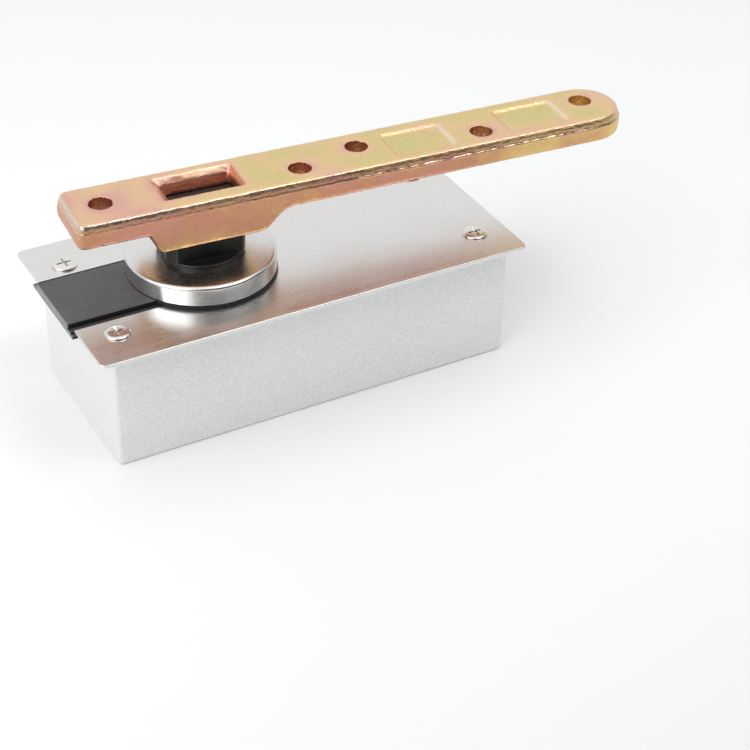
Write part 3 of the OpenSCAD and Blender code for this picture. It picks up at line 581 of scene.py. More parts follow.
@dataclass(frozen=True)
class YellowZinc(Finish):
    """Zinc with an iridescent yellow film, on a cast skin that holds its film, its wear and painted highlights."""

    # Dark brown for the grain's low spots: painted shade in the pits.
    pit_shade_colour: Colour = (0.34, 0.22, 0.12)
    bare_colour: Colour = (0.86, 0.82, 0.70)
    pale_wear_and_highlight_share: float = 0.85
    metal: float = 0.92
    roughness: float = 0.30
    tone_rough: float = 0.08
    bare_gloss: float = 0.12
    grain_scale: float = 1400.0
    grain_depth: float = 0.06 * MM

    def shade(self, graph: Graph) -> dict[str, Value]:
        """Film tints by the layer's thickness, darker pits that are painted shade, and paler, smoother edges that
        are part wear, part painted highlight.

        Args:
            graph: The material's graph.

        Returns:
            What the shader's inputs take, by name.
        """
        grain = effect(graph, Effect.GRAIN, Scale=self.grain_scale)
        # Sides take the darker side tints, which paint shade on them.
        side = graph.remap(graph.facing_up(), 0.85, 0.35)
        film = effect(graph, Effect.FILM, Thickness=graph.attribute(FILM_VALUE), Side=side)
        # Low grain is mixed toward the dark brown: painted shade in the cast skin's pits.
        level = graph.remap(grain["Height"], 0.38, 0.80, 0.66, 1.0)
        filmed = graph.mix(level, self.pit_shade_colour, film["Film Color"])
        # Paler, smoother film on edges and slopes: part wear, part painted highlight.
        raised = graph.remap(grain["Height"], 0.35, 0.75, 0.35, 1.0)
        worn = graph.math("MULTIPLY", graph.attribute(WEAR_AND_HIGHLIGHT_VALUE), raised)
        rough = graph.math("MULTIPLY_ADD", grain["Tone"], self.tone_rough, self.roughness)
        return {
            "Base Color": graph.mix(graph.math("MULTIPLY", worn, self.pale_wear_and_highlight_share), filmed, self.bare_colour),
            "Metallic": self.metal, "Roughness": graph.math("MULTIPLY_ADD", worn, -self.bare_gloss, rough),
            "Normal": self.bump(graph, grain["Height"], self.grain_depth)}


@dataclass(frozen=True)
class CastIron(Finish):
    """Grey iron with a rough cast skin."""

    colour: Colour = (0.13, 0.13, 0.135)
    pit_level: float = 0.6
    rubbed_colour: Colour = (0.34, 0.34, 0.35)
    rubbed_share: float = 0.5
    metal: float = 0.6
    roughness: Span = (0.50, 0.64)
    grain_scale: float = 800.0
    grain_depth: float = 0.12 * MM
    edge_radius: float = 0.8 * MM

    def shade(self, graph: Graph) -> dict[str, Value]:
        """Iron with darker pits and rubbed edges.

        Args:
            graph: The material's graph.

        Returns:
            What the shader's inputs take, by name.
        """
        grain = effect(graph, Effect.GRAIN, Scale=self.grain_scale)
        edge = effect(graph, Effect.EDGE, Radius=self.edge_radius, Ragged=0.5)
        skin = graph.mix(graph.remap(grain["Height"], 0.4, 0.9), toned(self.colour, self.pit_level), self.colour)
        rubbed = graph.math("MULTIPLY", edge["Mask"], self.rubbed_share)
        return {
            "Base Color": graph.mix(rubbed, skin, self.rubbed_colour), "Metallic": self.metal,
            "Roughness": graph.remap(grain["Tone"], 0.0, 1.0, *self.roughness),
            "Normal": self.bump(graph, grain["Height"], self.grain_depth)}


@dataclass(frozen=True)
class TurnedMetal(Finish):
    """Machined metal with turning lines: steel, bronze, nickel or a ground race."""

    colour: Colour = (0.56, 0.56, 0.57)
    roughness: float = 0.24
    line_scale: float = 5000.0
    line_depth: float = 0.01 * MM
    oily_level: float = 0.82
    oily_share: float = 0.8
    oily_rough: float = 0.10
    edge_level: float = 1.2
    edge_radius: float = 0.3 * MM
    smudge_scale: float = 120.0

    def shade(self, graph: Graph) -> dict[str, Value]:
        """Metal with a light oil film and rubbed edges.

        Args:
            graph: The material's graph.

        Returns:
            What the shader's inputs take, by name.
        """
        lay = effect(graph, Effect.BRUSH, Turned=1.0, Scale=self.line_scale)
        oil = effect(graph, Effect.SMUDGE, Scale=self.smudge_scale)["Mask"]
        edge = effect(graph, Effect.EDGE, Radius=self.edge_radius, Ragged=0.4)
        oily = graph.math("MULTIPLY", oil, self.oily_share)
        colour = graph.mix(oily, self.colour, toned(self.colour, self.oily_level))
        return {
            "Base Color": graph.mix(edge["Mask"], colour, toned(self.colour, self.edge_level)), "Metallic": 1.0,
            "Roughness": graph.math("MULTIPLY_ADD", oil, self.oily_rough, self.roughness),
            "Normal": self.bump(graph, lay["Height"], self.line_depth)}


SILVER_CASE = SilverCase("silver_case")
BRUSHED_PLATE = BrushedSteel("brushed_plate")
TURNED_CAP = BrushedSteel("turned_cap", turned=1.0, roughness=0.21, line_depth=0.0018 * MM)
BLACK_RUBBER = BlackRubber("black_rubber")
CUT_RUBBER = BlackRubber("cut_rubber", cut_x=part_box("slot_strip")[0][0])
BLACK_OXIDE = BlackOxide("black_oxide")
YELLOW_ZINC = YellowZinc("yellow_zinc")
CAST_IRON = CastIron("cast_iron")
BRIGHT_NICKEL = TurnedMetal("bright_nickel", (0.84, 0.82, 0.79), 0.22, 3000.0, 0.004 * MM)
PLAIN_STEEL = TurnedMetal("plain_steel")
BRONZE = TurnedMetal("bronze", (0.72, 0.46, 0.20), 0.26)
BEARING_STEEL = TurnedMetal("bearing_steel", (0.70, 0.71, 0.73), 0.12, 9000.0, 0.004 * MM)
SPRING_STEEL = TurnedMetal("spring_steel", (0.10, 0.11, 0.10), 0.34, 2500.0)


# ------------------------------------------------------------------ mesh helpers


def dress(node: str, finish: Finish, edge: float = 0.0) -> bpy.types.Object:
    """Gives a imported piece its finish, and breaks its sharp edges.

    Args:
        node: The piece's name in the frame.
        finish: Its finish.
        edge: How wide a broken edge is, or 0 to leave them sharp.

    Returns:
        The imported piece.
    """
    piece = frame["nodes"][node]
    piece.data.materials.clear()
    piece.data.materials.append(finish.material())
    if edge:
        soft = piece.modifiers.new("broken_edges", "BEVEL")
        soft.width = edge
        soft.segments = 2
        soft.limit_method = "ANGLE"
        soft.angle_limit = math.radians(40.0)
        soft.harden_normals = True
    return piece


def new_piece(name: str, verts: list | np.ndarray, faces: list, finish: Finish) -> bpy.types.Object:
    """Makes an object from points and faces.

    Args:
        name: The piece's name.
        verts: Its points.
        faces: Its faces, as numbers of points.
        finish: Its finish.

    Returns:
        The new object, smooth shaded.
    """
    mesh = bpy.data.meshes.new(name)
    mesh.from_pydata([tuple(v) for v in verts], [], faces)
    mesh.validate()
    mesh.shade_smooth()
    mesh.materials.append(finish.material())
    piece = bpy.data.objects.new(name, mesh)
    bpy.context.scene.collection.objects.link(piece)
    return piece


def closed_skin(name: str, rings: list[np.ndarray], finish: Finish) -> bpy.types.Object:
    """Joins rings of points, one after the other, into one closed piece.

    Args:
        name: The piece's name.
        rings: The rings, each with the same number of points.
        finish: Its finish.

    Returns:
        The new piece.
    """
    count, last = len(rings[0]), (len(rings) - 1) * len(rings[0])
    faces = [list(range(count))]
    for start in range(0, last, count):
        faces += [(start + k, start + count + k, start + count + (k + 1) % count, start + (k + 1) % count)
                  for k in range(count)]
    faces.append([last + k for k in reversed(range(count))])
    return new_piece(name, np.concatenate(rings), faces, finish)


def bake_modifiers(piece: bpy.types.Object) -> None:
    """Makes a piece's modifiers part of its mesh.

    Args:
        piece: The piece, whose modifiers go.
    """
    graph = bpy.context.evaluated_depsgraph_get()
    made = bpy.data.meshes.new_from_object(piece.evaluated_get(graph))
    piece.modifiers.clear()
    piece.data = made


def cut_away(piece: bpy.types.Object, tool: bpy.types.Object) -> None:
    """Cuts a tool's shape out of a piece and takes the tool away.

    Args:
        piece: The piece that is cut.
        tool: A closed shape that reaches into it.
    """
    cut = piece.modifiers.new("cut", "BOOLEAN")
    cut.operation = "DIFFERENCE"
    cut.solver = "EXACT"
    cut.object = tool
    bake_modifiers(piece)
    bpy.data.objects.remove(tool)


def take_place(node: str) -> None:
    """Hides the imported piece that a modelled piece stands in for."""
    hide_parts(node)


# ------------------------------------------------------------------ the arm


def clamped(value: np.ndarray) -> np.ndarray:
    """Values held between 0 and 1."""
    return np.clip(value, 0.0, 1.0)


@dataclass(frozen=True)
class Rectangle:
    """A rectangle seen from above: its ends along X, then its ends along Y."""

    x0: float
    x1: float
    y0: float
    y1: float

    def distance(self, place: np.ndarray) -> np.ndarray:
        """How far each point is from the rectangle, negative inside it.

        Args:
            place: The points.

        Returns:
            The distances.
        """
        x = np.abs(place[:, 0] - (self.x0 + self.x1) / 2) - (self.x1 - self.x0) / 2
        y = np.abs(place[:, 1] - (self.y0 + self.y1) / 2) - (self.y1 - self.y0) / 2
        return np.hypot(np.maximum(x, 0.0), np.maximum(y, 0.0)) + np.minimum(np.maximum(x, y), 0.0)


@dataclass(frozen=True)
class EdgeRounding:
    """How strongly each part of the cast skin is evened out, from 0 to 1, and how far from an edge that reaches."""

    turns: int = 230
    step: float = 0.6
    elsewhere: float = 0.05
    outline: float = 1.0
    outline_reach: float = 5.5 * MM
    recess: float = 0.20
    recess_inside: float = 0.8 * MM
    recess_reach: float = 2.6 * MM
    pocket: float = 0.17
    pocket_reach: float = 2.5 * MM
    hole: float = 0.015
    hole_reach: float = 1.5 * MM
    lower: float = 0.12
    lower_drop: float = 2.0 * MM
    foot: float = 0.16
    foot_drop: float = 0.5 * MM


@dataclass(frozen=True)
class PartingLine:
    """The step and ridge that the mould's joint leaves round the arm, growing towards the far end."""

    height: float = 95.9 * MM
    step_in: float = 0.40 * MM
    ridge_h: float = 0.26 * MM
    ridge_w: float = 0.45 * MM
    least: float = 0.30
    grows_from: float = 10.0 * MM
    grows_over: float = 90.0 * MM


@dataclass(frozen=True)
class FilmCoat:
    """How thick the film lies on each part of the arm, from 0 to about 1."""

    face: float = 0.27
    pooled: float = 0.60
    pool_reach: float = 3.2 * MM
    recess_pool: float = 1.5 * MM
    tail: float = 0.32
    tail_from: float = -10.0 * MM
    tail_run: float = 30.0 * MM
    recess_loss: float = 0.14
    pocket: float = 0.95
    side: float = 0.78
    foot_loss: float = 0.60
    foot_run: float = 9.0 * MM
    far_loss: float = 0.52
    far_from: float = 118.0 * MM
    far_run: float = 25.0 * MM


@dataclass
class CastArm:
    """The cast arm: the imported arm's form with the skin, soft edges and burrs of a casting.

    It is worked on turned straight along X, and turned back at the end.
    """

    node: str = "arm"
    turn: float = math.radians(-4.4)
    voxel: float = 0.36 * MM
    most_faces: int = 190000
    top_z: float = 100.1 * MM
    foot_z: float = 88.6 * MM
    hole_r: float = 5.0 * MM
    pocket: Rectangle = Rectangle(-18.5 * MM, 18.5 * MM, -9.1 * MM, 11.5 * MM)
    recesses: tuple[Rectangle, ...] = (
        Rectangle(85.8 * MM, 115.0 * MM, -11.8 * MM, 8.7 * MM),
        Rectangle(140.8 * MM, 170.5 * MM, -10.9 * MM, 9.1 * MM))
    rounding: EdgeRounding = EdgeRounding()
    joint: PartingLine = PartingLine()
    film: FilmCoat = FilmCoat()
    front_out: float = 0.95 * MM
    back_out: float = 0.30 * MM
    edge_w: float = 4.5 * MM
    skin_depth: float = 0.085 * MM
    edge_wave: float = 0.12 * MM
    rubbed: float = 0.75
    burr_h: float = 0.5 * MM
    burr_w: float = 1.3 * MM
    fine_waves: float = 1000.0
    wide_waves: float = 260.0

    def __post_init__(self) -> None:
        """Finds the holes in the straightened arm from the record's places."""
        cosine, sine = math.cos(-self.turn), math.sin(-self.turn)
        spots = [m["pos_m"] for m in frame["record"]["mounts"] if m["name"].startswith("door_hole")]
        self.holes = [(x * cosine - y * sine, x * sine + y * cosine) for x, y, _ in spots]

    def build(self) -> bpy.types.Object:
        """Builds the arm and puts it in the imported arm's place.

        Returns:
            The finished piece.
        """
        piece = self.remeshed()
        self.fill_edges(piece)
        self.soften(piece)
        self.roughen(piece)
        self.thin_out(piece)
        self.coat(piece)
        piece.data.transform(Matrix.Rotation(self.turn, 4, "Z"))
        piece.data.shade_smooth()
        piece.data.materials.clear()
        piece.data.materials.append(YELLOW_ZINC.material())
        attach(piece, frame["nodes"][self.node]["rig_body"])
        take_place(self.node)
        return piece

    def remeshed(self) -> bpy.types.Object:
        """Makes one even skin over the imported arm's shape.

        Returns:
            The new piece, straight along X.
        """
        mesh = frame["nodes"][self.node].data.copy()
        mesh.transform(Matrix.Rotation(-self.turn, 4, "Z"))
        piece = bpy.data.objects.new("cast_arm", mesh)
        bpy.context.scene.collection.objects.link(piece)
        weld = piece.modifiers.new("weld", "WELD")
        weld.merge_threshold = 0.001 * MM
        skin = piece.modifiers.new("skin", "REMESH")
        skin.mode = "VOXEL"
        skin.voxel_size = self.voxel
        bake_modifiers(piece)
        return piece

    @staticmethod
    def skin_of(piece: bpy.types.Object) -> tuple[np.ndarray, np.ndarray]:
        """Reads a piece's skin.

        Args:
            piece: The piece.

        Returns:
            The points of its mesh, and their normals.
        """
        mesh = piece.data
        place = np.zeros(len(mesh.vertices) * 3, np.float32)
        normal = np.zeros(len(mesh.vertices) * 3, np.float32)
        mesh.vertices.foreach_get("co", place)
        mesh.vertices.foreach_get("normal", normal)
        return place.reshape(-1, 3).astype(float), normal.reshape(-1, 3).astype(float)

    @staticmethod
    def move_skin(piece: bpy.types.Object, place: np.ndarray) -> None:
        """Puts each point of a piece's mesh in a new place."""
        piece.data.vertices.foreach_set("co", place.astype(np.float32).ravel())
        piece.data.update()

    @staticmethod
    def inset(place: np.ndarray) -> np.ndarray:
        """How far inside the arm's outline each point is, seen from above.

        Args:
            place: The skin's points.

        Returns:
            The distances, measured from the round far end, the sides and the square tail.
        """
        half = place[:, 1].max()
        tip = place[:, 0].max() - half
        along = np.maximum(place[:, 0] - tip, 0.0)
        sides = half - np.hypot(along, place[:, 1])
        return np.minimum(sides, place[:, 0] - place[:, 0].min())

    def from_holes(self, place: np.ndarray) -> np.ndarray:
        """How far each point is from the rim of the nearest hole."""
        return np.min([np.hypot(place[:, 0] - x, place[:, 1] - y) for x, y in self.holes], axis=0) - self.hole_r

    @staticmethod
    def waves(place: np.ndarray, scale: float) -> np.ndarray:
        """A smooth noise of about -1 to 1 at each point, its waves 1 / scale long."""
        return np.array([noise.noise(Vector(p) * scale) for p in place]) * 1.6

    def fill_edges(self, piece: bpy.types.Object) -> None:
        """Fills out the long top edges, front and back, before they are rounded.

        Args:
            piece: The arm, straight along X.
        """
        place, _ = self.skin_of(piece)
        rise = clamped((place[:, 2] - self.joint.height) / (self.top_z - self.joint.height))
        near = clamped(1.0 - self.inset(place) / self.edge_w)
        amount = np.where(place[:, 1] < 0.0, self.front_out, self.back_out) * rise * np.minimum(near * 2.0, 1.0)
        place[:, 1] += amount * np.sign(place[:, 1])
        self.move_skin(piece, place)

    def soften(self, piece: bpy.types.Object) -> None:
        """Rounds the edges, most round the outline, less in the pocket and at the foot, least at the holes.

        Args:
            piece: The arm, straight along X.
        """
        place, _ = self.skin_of(piece)
        rounding = self.rounding
        weight = np.full(len(place), rounding.elsewhere)
        for recess in self.recesses:
            from_slope = np.abs(recess.distance(place) + rounding.recess_inside)
            weight[from_slope < rounding.recess_reach] = rounding.recess
        weight[self.pocket.distance(place) < rounding.pocket_reach] = rounding.pocket
        weight[self.inset(place) < rounding.outline_reach] = rounding.outline
        weight[place[:, 2] < self.joint.height - rounding.lower_drop] = rounding.lower
        weight[self.from_holes(place) < rounding.hole_reach] = rounding.hole
        weight[place[:, 2] < self.foot_z - rounding.foot_drop] = rounding.foot
        group = piece.vertex_groups.new(name="round")
        for level in np.unique(weight):
            group.add(np.flatnonzero(weight == level).tolist(), float(level), "REPLACE")
        even = piece.modifiers.new("even", "SMOOTH")
        even.factor = rounding.step
        even.iterations = rounding.turns
        even.vertex_group = "round"
        bake_modifiers(piece)
        piece.vertex_groups.clear()

    def roughen(self, piece: bpy.types.Object) -> None:
        """Moves the skin in and out, as sand, the mould's joint and flash leave it.

        Args:
            piece: The arm, straight along X.
        """
        place, normal = self.skin_of(piece)
        fine, wide = self.waves(place, self.fine_waves), self.waves(place, self.wide_waves)
        lift = self.sand(place, normal, fine, wide)
        lift += self.parting(place, normal, wide)
        lift += self.burr(place, normal, fine)
        self.move_skin(piece, place + normal * lift[:, None])

    def sand(self, place: np.ndarray, normal: np.ndarray, fine: np.ndarray, wide: np.ndarray) -> np.ndarray:
        """The sand's grain, finer on the rubbed top and round the pocket, and waves along the top edges.

        Args:
            place: The skin's points.
            normal: Their normals.
            fine: A fine noise at each point.
            wide: A wide noise at each point.

        Returns:
            How far each point is lifted.
        """
        flat_top = clamped((normal[:, 2] - 0.90) / 0.08)
        slanted = clamped(1.0 - np.abs(normal[:, 2] - 0.6) / 0.4)
        near_top = clamped((place[:, 2] - self.joint.height) / (3.0 * MM))
        rim = clamped(1.0 - np.abs(self.pocket.distance(place) + 1.5 * MM) / (2.5 * MM))
        grain = self.skin_depth * fine * (1.0 - self.rubbed * np.maximum(flat_top, rim))
        return grain + self.edge_wave * wide * slanted * near_top

    def parting(self, place: np.ndarray, normal: np.ndarray, wide: np.ndarray) -> np.ndarray:
        """The step and the ridge where the mould's halves met, which grow towards the far end.

        Args:
            place: The skin's points.
            normal: Their normals.
            wide: A wide noise at each point.

        Returns:
            How far each point is lifted.
        """
        joint, inset, above = self.joint, self.inset(place), place[:, 2] - self.joint.height
        grown = joint.least + (1.0 - joint.least) * clamped((place[:, 0] - joint.grows_from) / joint.grows_over)
        upper = clamped((above - 0.2 * MM * wide) / (0.5 * MM) - 0.3)
        not_top = clamped((0.75 - normal[:, 2]) / 0.2) * (inset < 2.5 * MM)
        upright = clamped(1.0 - np.abs(normal[:, 2]) / 0.5) * (inset < 1.2 * MM)
        ridge = np.exp(-((above - 0.25 * MM * wide) / joint.ridge_w) ** 2)
        ridge = joint.ridge_h * grown * ridge * upright * np.clip(0.85 + 0.45 * wide, 0.3, 1.3)
        return ridge - joint.step_in * grown * upper * not_top

    def burr(self, place: np.ndarray, normal: np.ndarray, ragged: np.ndarray) -> np.ndarray:
        """The ragged rim round the hole at the arm's tail.

        Args:
            place: The skin's points.
            normal: Their normals.
            ragged: A noise at each point.

        Returns:
            How far each point is lifted.
        """
        x, y = place[:, 0] - self.holes[0][0], place[:, 1] - self.holes[0][1]
        out = (np.hypot(x, y) - self.hole_r) / self.burr_w
        rim = clamped(1.0 - np.abs(out - 0.35) / 0.65)
        on_top = (place[:, 2] > self.top_z - 1.0 * MM) & (normal[:, 2] > 0.3)
        back = 0.45 + 0.55 * np.clip(y / self.hole_r, -1.0, 1.0)
        return self.burr_h * rim * on_top * back * np.clip(0.8 + 1.2 * ragged, 0.2, 1.5)

    def thin_out(self, piece: bpy.types.Object) -> None:
        """Takes faces away where the skin is even, so that the piece stays light.

        Args:
            piece: The arm.
        """
        triangles = sum(len(p.vertices) - 2 for p in piece.data.polygons)
        if triangles > self.most_faces:
            thin = piece.modifiers.new("thin", "DECIMATE")
            thin.ratio = self.most_faces / triangles
            bake_modifiers(piece)

    def coat(self, piece: bpy.types.Object) -> None:
        """Stores on the mesh how thick the film lies, and where it is paled: partly wear from handling, partly
        painted highlight.

        Args:
            piece: The arm, straight along X.
        """
        place, normal = self.skin_of(piece)
        for name, values in ((FILM_VALUE, self.film_on(place, normal)), (WEAR_AND_HIGHLIGHT_VALUE, self.wear_and_highlight_on(place, normal))):
            held = piece.data.attributes.new(name, "FLOAT", "POINT")
            held.data.foreach_set("value", values.astype(np.float32))

    def film_on(self, place: np.ndarray, normal: np.ndarray) -> np.ndarray:
        """How thick the film lies: pooled at edges and in the pocket, thin on the foot and the far end's sides.

        Args:
            place: The skin's points.
            normal: Their normals.

        Returns:
            The film's thickness at each point.
        """
        coat, pocket = self.film, self.pocket.distance(place)
        recesses = [recess.distance(place) for recess in self.recesses]
        near = np.minimum(np.minimum(self.inset(place), np.abs(pocket)), self.from_holes(place))
        for recess in recesses:
            near = np.minimum(near, np.abs(recess) + coat.recess_pool)
        film = coat.face + coat.pooled * np.exp(-np.maximum(near, 0.0) / coat.pool_reach)
        film += coat.tail * clamped((coat.tail_from - place[:, 0]) / coat.tail_run)
        for recess in recesses:
            film[recess < -2.0 * MM] -= coat.recess_loss
        film[pocket < 0.0] = coat.pocket
        foot = clamped((self.foot_z - place[:, 2]) / coat.foot_run)
        far = clamped((place[:, 0] - coat.far_from) / coat.far_run)
        on_side = clamped((0.7 - normal[:, 2]) / 0.3) * (pocket > 1.0 * MM)
        return film * (1.0 - on_side) + on_side * (coat.side - coat.foot_loss * foot ** 2 - coat.far_loss * far)

    def wear_and_highlight_on(self, place: np.ndarray, normal: np.ndarray) -> np.ndarray:
        """How pale the film is made: along the rounded edges, most at the tail, as wear and painted highlight, and
        on the recesses' far slopes, as painted highlight.

        Args:
            place: The skin's points.
            normal: Their normals.

        Returns:
            The paling at each point, from 0 to 1: part wear, part painted highlight.
        """
        worn = clamped(1.0 - np.abs(normal[:, 2] - 0.55) / 0.38) * (self.inset(place) < 4.0 * MM)
        worn *= 0.55 + 0.45 * clamped(-place[:, 0] / (40.0 * MM))
        # Painted highlight on the recesses' far slopes, where they catch the light.
        for recess in self.recesses:
            slope = clamped(1.0 - np.abs(place[:, 0] - recess.x1 + 0.9 * MM) / (1.6 * MM))
            across = (place[:, 1] > recess.y0 + 1.0 * MM) * (place[:, 1] < recess.y1 - 1.0 * MM)
            worn += 0.8 * slope * across * (normal[:, 2] > 0.5)
        return clamped(worn)


# ------------------------------------------------------------------ the studio


@dataclass(frozen=True)
class SoftBox:
    """A soft box that faces the hinge: where it hangs, its width and height, and its power in watts."""

    name: str
    at: Place
    size: Span
    power: float
    aim: Place = (0.03, 0.0, 0.05)

    def hang(self) -> None:
        """Hangs the box in the studio, unseen by the camera."""
        light = bpy.data.lights.new(self.name, "AREA")
        light.shape = "RECTANGLE"
        light.size, light.size_y = self.size
        light.energy = self.power
        lamp = bpy.data.objects.new(self.name, light)
        lamp.location = self.at
        lamp.rotation_euler = (Vector(self.aim) - Vector(self.at)).to_track_quat("-Z", "Y").to_euler()
        lamp.visible_camera = False
        bpy.context.scene.collection.objects.link(lamp)


@dataclass
class Studio:
    """A white table under soft boxes, and the camera."""

    floor_half: float = 6.0
    boxes: tuple[SoftBox, ...] = (
        SoftBox("left_box", (-1.33, -0.36, 0.92), (1.70, 1.25), 14.5),
        SoftBox("top_box", (0.42, -0.48, 1.15), (0.60, 0.60), 3.6))
    air_colour: Colour = (0.985, 0.99, 1.0)
    dark_way: Place = (0.34, -0.93, 0.10)
    dark_band: Span = (0.25, 0.62)
    low_band: Span = (0.74, 0.60)
    bright_way: Place = (0.30, 0.70, 0.65)
    bright_band: Span = (-0.2, 0.75)
    overhead_band: Span = (0.70, 0.82)
    back_level: float = 0.94
    side_level: float = 0.48
    front_level: float = 0.05
    overhead_level: float = 1.05
    camera_at: Place = (-0.27910, -0.64566, 0.50198)
    turn_deg: float = -29.07
    tilt_deg: float = 34.504
    roll_deg: float = 0.905
    lens: float = 92.99
    shift: Span = (0.01521, -0.04403)

    def build(self) -> None:
        """Builds the floor, the lights, the surroundings and the camera."""
        self.build_floor()
        for box in self.boxes:
            box.hang()
        self.build_surroundings()
        self.build_camera()
        bpy.context.scene.view_settings.view_transform = "Standard"

    def build_floor(self) -> None:
        """Builds the plain pale floor."""
        half = self.floor_half
        corners = [(-half, -half, 0.0), (half, -half, 0.0), (half, half, 0.0), (-half, half, 0.0)]
        floor = new_piece("floor", corners, [(0, 1, 2, 3)], PALE_FLOOR)

    def build_surroundings(self) -> None:
        """Sets a pale studio round the table, dark and low on the side it is watched from."""
        world = bpy.data.worlds.new("studio")
        bpy.context.scene.world = world
        world.use_nodes = True
        world.node_tree.nodes.clear()
        graph = Graph(world.node_tree)
        way = graph.add("ShaderNodeTexCoord").outputs["Generated"]
        height = graph.parts(way)[2]
        near_side = graph.math("MULTIPLY", graph.remap(graph.toward(way, self.dark_way), *self.dark_band),
                               graph.remap(height, *self.low_band))
        level = graph.remap(graph.toward(way, self.bright_way), *self.bright_band, self.side_level, self.back_level)
        level = graph.between(graph.remap(height, *self.overhead_band), level, self.overhead_level)
        level = graph.between(near_side, level, self.front_level)
        back = graph.add("ShaderNodeBackground", {"Color": self.air_colour, "Strength": level})
        graph.add("ShaderNodeOutputWorld", {"Surface": back.outputs[0]})

    def build_camera(self) -> None:
        """Sets up the camera at its viewing angle."""
        turn, tilt, roll = (math.radians(d) for d in (self.turn_deg, self.tilt_deg, self.roll_deg))
        ahead = Vector((-math.sin(turn) * math.cos(tilt), math.cos(turn) * math.cos(tilt), -math.sin(tilt)))
        right = ahead.cross(Vector((0.0, 0.0, 1.0))).normalized()
        up = right.cross(ahead)
        across = right * math.cos(roll) + up * math.sin(roll)
        upright = up * math.cos(roll) - right * math.sin(roll)
        data = bpy.data.cameras.new("camera")
        data.sensor_width = 36.0
        data.lens = self.lens
        data.shift_x, data.shift_y = self.shift
        data.clip_start, data.clip_end = 0.05, 20.0
        camera = bpy.data.objects.new("camera", data)
        axes = Matrix((across, upright, -ahead)).transposed()
        camera.matrix_world = Matrix.Translation(self.camera_at) @ axes.to_4x4()
        bpy.context.scene.collection.objects.link(camera)
        bpy.context.scene.camera = camera


@dataclass(frozen=True)
class PaleFloor(Finish):
    """A matt white table top."""

    near_colours: tuple[Colour, Colour] = ((0.86, 0.865, 0.865), (0.88, 0.88, 0.88))
    # The floor far out on the camera's side is greyed to this colour and over this span, as painted shade.
    far_shade_colour: Colour = (0.50, 0.50, 0.505)
    shade_pool: Span = (-0.02, 0.80)

    def shade(self, graph: Graph) -> dict[str, Value]:
        """White with the faintest change of tone, and painted shade that greys it far out on the side it is watched
        from.

        Args:
            graph: The material's graph.

        Returns:
            What the shader's inputs take, by name.
        """
        place = graph.object_place()
        near = graph.mix(graph.noise(place, 1.5, 2.0), *self.near_colours)
        outward = graph.math("MULTIPLY", graph.parts(place)[1], -1.0)
        # Painted shade: the floor greys towards the camera's side.
        colour = graph.mix(graph.remap(outward, *self.shade_pool), near, self.far_shade_colour)
        return {"Base Color": colour, "Roughness": 0.9, "Specular IOR Level": 0.1}


PALE_FLOOR = PaleFloor("pale_floor")


# ------------------------------------------------------------------ screws


class Drive(Enum):
    """What turns a screw, and the form of head that goes with it."""

    CROSS = "cross recess in a low dome"
    SOCKET = "hexagon socket in a low cylinder"
    GRUB = "hexagon socket in the thread's own end"


HEAD_PROFILES: dict[Drive, tuple[Span, ...]] = {
    Drive.CROSS: (
        (0.15, 1.0), (0.35, 0.985), (0.55, 0.95), (0.72, 0.88), (0.86, 0.76), (0.95, 0.60),
        (0.985, 0.48), (1.0, 0.36), (1.0, 0.24), (0.975, 0.12), (0.92, 0.0)),
    Drive.SOCKET: (
        (0.30, 1.0), (0.90, 1.0), (0.96, 0.97), (0.99, 0.91), (1.0, 0.84), (1.0, 0.05), (0.98, 0.0)),
    Drive.GRUB: ((0.35, 0.0), (0.90, 0.0))}


@dataclass(frozen=True)
class ScrewSizes:
    """The sizes of one kind of screw: its shank and thread, its head, and its recess."""

    shank_r: float
    pitch: float
    head_r: float
    head_h: float
    recess_r: float
    recess_h: float


